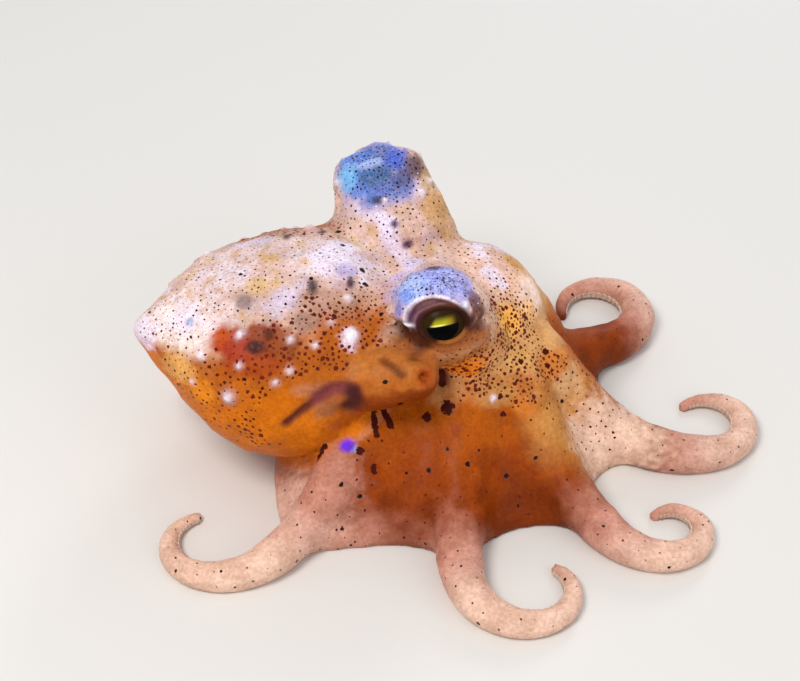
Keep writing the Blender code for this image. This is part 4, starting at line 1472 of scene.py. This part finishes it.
def suckers_form():
    """Every cup, in two staggered rows down the free part of each arm."""
    cup = sucker_form()
    bm = bmesh.new()
    for arm in ARMS.values():
        inner = 1 if arm.curl > 0 else -1
        along = arm.reach + 0.6
        stations = arm_stations(arm, along, arm.length - 0.3, 0.05)
        while along < arm.length - 0.4:
            station = min(stations, key=lambda s: abs(s[0] - along))
            _, point, heading, radius = station
            size = 0.27 * radius + 0.03
            free = (along - arm.reach) / (arm.length - arm.reach)
            roll = ROLL_AT_WEB + ROLL_TURN * free**0.7
            for row in (-1, 1):
                angle = math.radians(roll + row * ROW_ANGLE)
                sideways = Vector((-math.sin(heading), math.cos(heading), 0)) * inner
                outward = sideways * math.cos(angle) + Vector((0, 0, math.sin(angle)))
                shift = Vector((math.cos(heading), math.sin(heading), 0)) * (row * 0.5 * size)
                place = point + outward * (radius - CUP_SINK) + shift
                if place.z - size * abs(math.cos(angle)) < CUP_CLEARANCE:
                    continue
                turn = outward.to_track_quat("Z", "X").to_matrix().to_4x4()
                where = Matrix.Translation(place) @ turn @ Matrix.Scale(size, 4)
                start = len(bm.verts)
                bm.from_mesh(cup)
                bm.verts.ensure_lookup_table()
                bmesh.ops.transform(bm, verts=bm.verts[start:], matrix=where)
            along += CUP_SPACING * size
    return as_mesh(bm, "suckers")


def sucker_flesh():
    """Pale, faintly clouded flesh."""
    material, tree, wire, shader = new_material("sucker flesh")
    where = new_node(tree, "ShaderNodeTexCoord").outputs["Object"]
    tone = wire.mix(wire.noise(where, 0.5), (0.60, 0.36, 0.27), (0.86, 0.68, 0.56))
    wire.link(tone, shader.inputs["Base Color"])
    shader.inputs["Roughness"].default_value = 0.42
    shader.inputs["Subsurface Weight"].default_value = 0.2
    shader.inputs["Subsurface Radius"].default_value = (1.0, 0.45, 0.25)
    shader.inputs["Subsurface Scale"].default_value = 0.3 * MM
    shader.inputs["Coat Weight"].default_value = 0.15
    shader.inputs["Coat Roughness"].default_value = 0.2
    return material


suckers = finished("suckers", suckers_form(), sucker_flesh())


# ---- The studio
# A pale matt floor, a large soft lamp above on the left, a weaker one in front and one behind. The
# camera stands at the animal's right side and looks down on it.

LAMP_AIM = Vector((0, 0, 0.006))
ELEVATION = math.radians(40)
LENS = 85.0
SENSOR = 36
FIELD = 48 * MM
floor_bm = bmesh.new()
bmesh.ops.create_grid(floor_bm, x_segments=1, y_segments=1, size=1.5)
floor_mesh = as_mesh(floor_bm, "floor")
floor_paint, _, _, floor_shader = new_material("floor")
floor_shader.inputs["Base Color"].default_value = (0.74, 0.72, 0.69, 1)
floor_shader.inputs["Roughness"].default_value = 0.75
floor_mesh.materials.append(floor_paint)
floor = linked("floor", floor_mesh)

world = bpy.context.scene.world or bpy.data.worlds.new("world")
bpy.context.scene.world = world
world.use_nodes = True
sky = world.node_tree.nodes["Background"]
sky.inputs["Color"].default_value = (0.92, 0.95, 1.0, 1)
sky.inputs["Strength"].default_value = 0.62


def soft_lamp(name, place, power, size, tint):
    lamp = bpy.data.lights.new(name, "AREA")
    lamp.shape = "DISK"
    lamp.energy = power
    lamp.size = size
    lamp.color = tint
    obj = linked(name, lamp)
    obj.location = place
    obj.rotation_euler = (LAMP_AIM - Vector(place)).to_track_quat("-Z", "Y").to_euler()


soft_lamp("key", (-0.06, -0.07, 0.15), 0.17, 0.07, (1.0, 0.97, 0.92))
soft_lamp("fill", (0.13, -0.12, 0.09), 0.055, 0.14, (1.0, 0.95, 0.9))
soft_lamp("rim", (0.05, 0.14, 0.09), 0.06, 0.06, (0.95, 0.97, 1.0))

away = LENS / SENSOR * FIELD
target = TO_FRAME @ Vector((0, 0, 6))
camera_data = bpy.data.cameras.new("camera")
camera_data.lens = LENS
camera_data.sensor_width = SENSOR
camera_data.clip_start = 0.005
camera = linked("camera", camera_data)
camera.location = target + Vector((0, -math.cos(ELEVATION), math.sin(ELEVATION))) * away
camera.rotation_euler = (math.pi / 2 - ELEVATION, 0, 0)
bpy.context.scene.camera = camera
bpy.context.scene.view_settings.view_transform = "Standard"
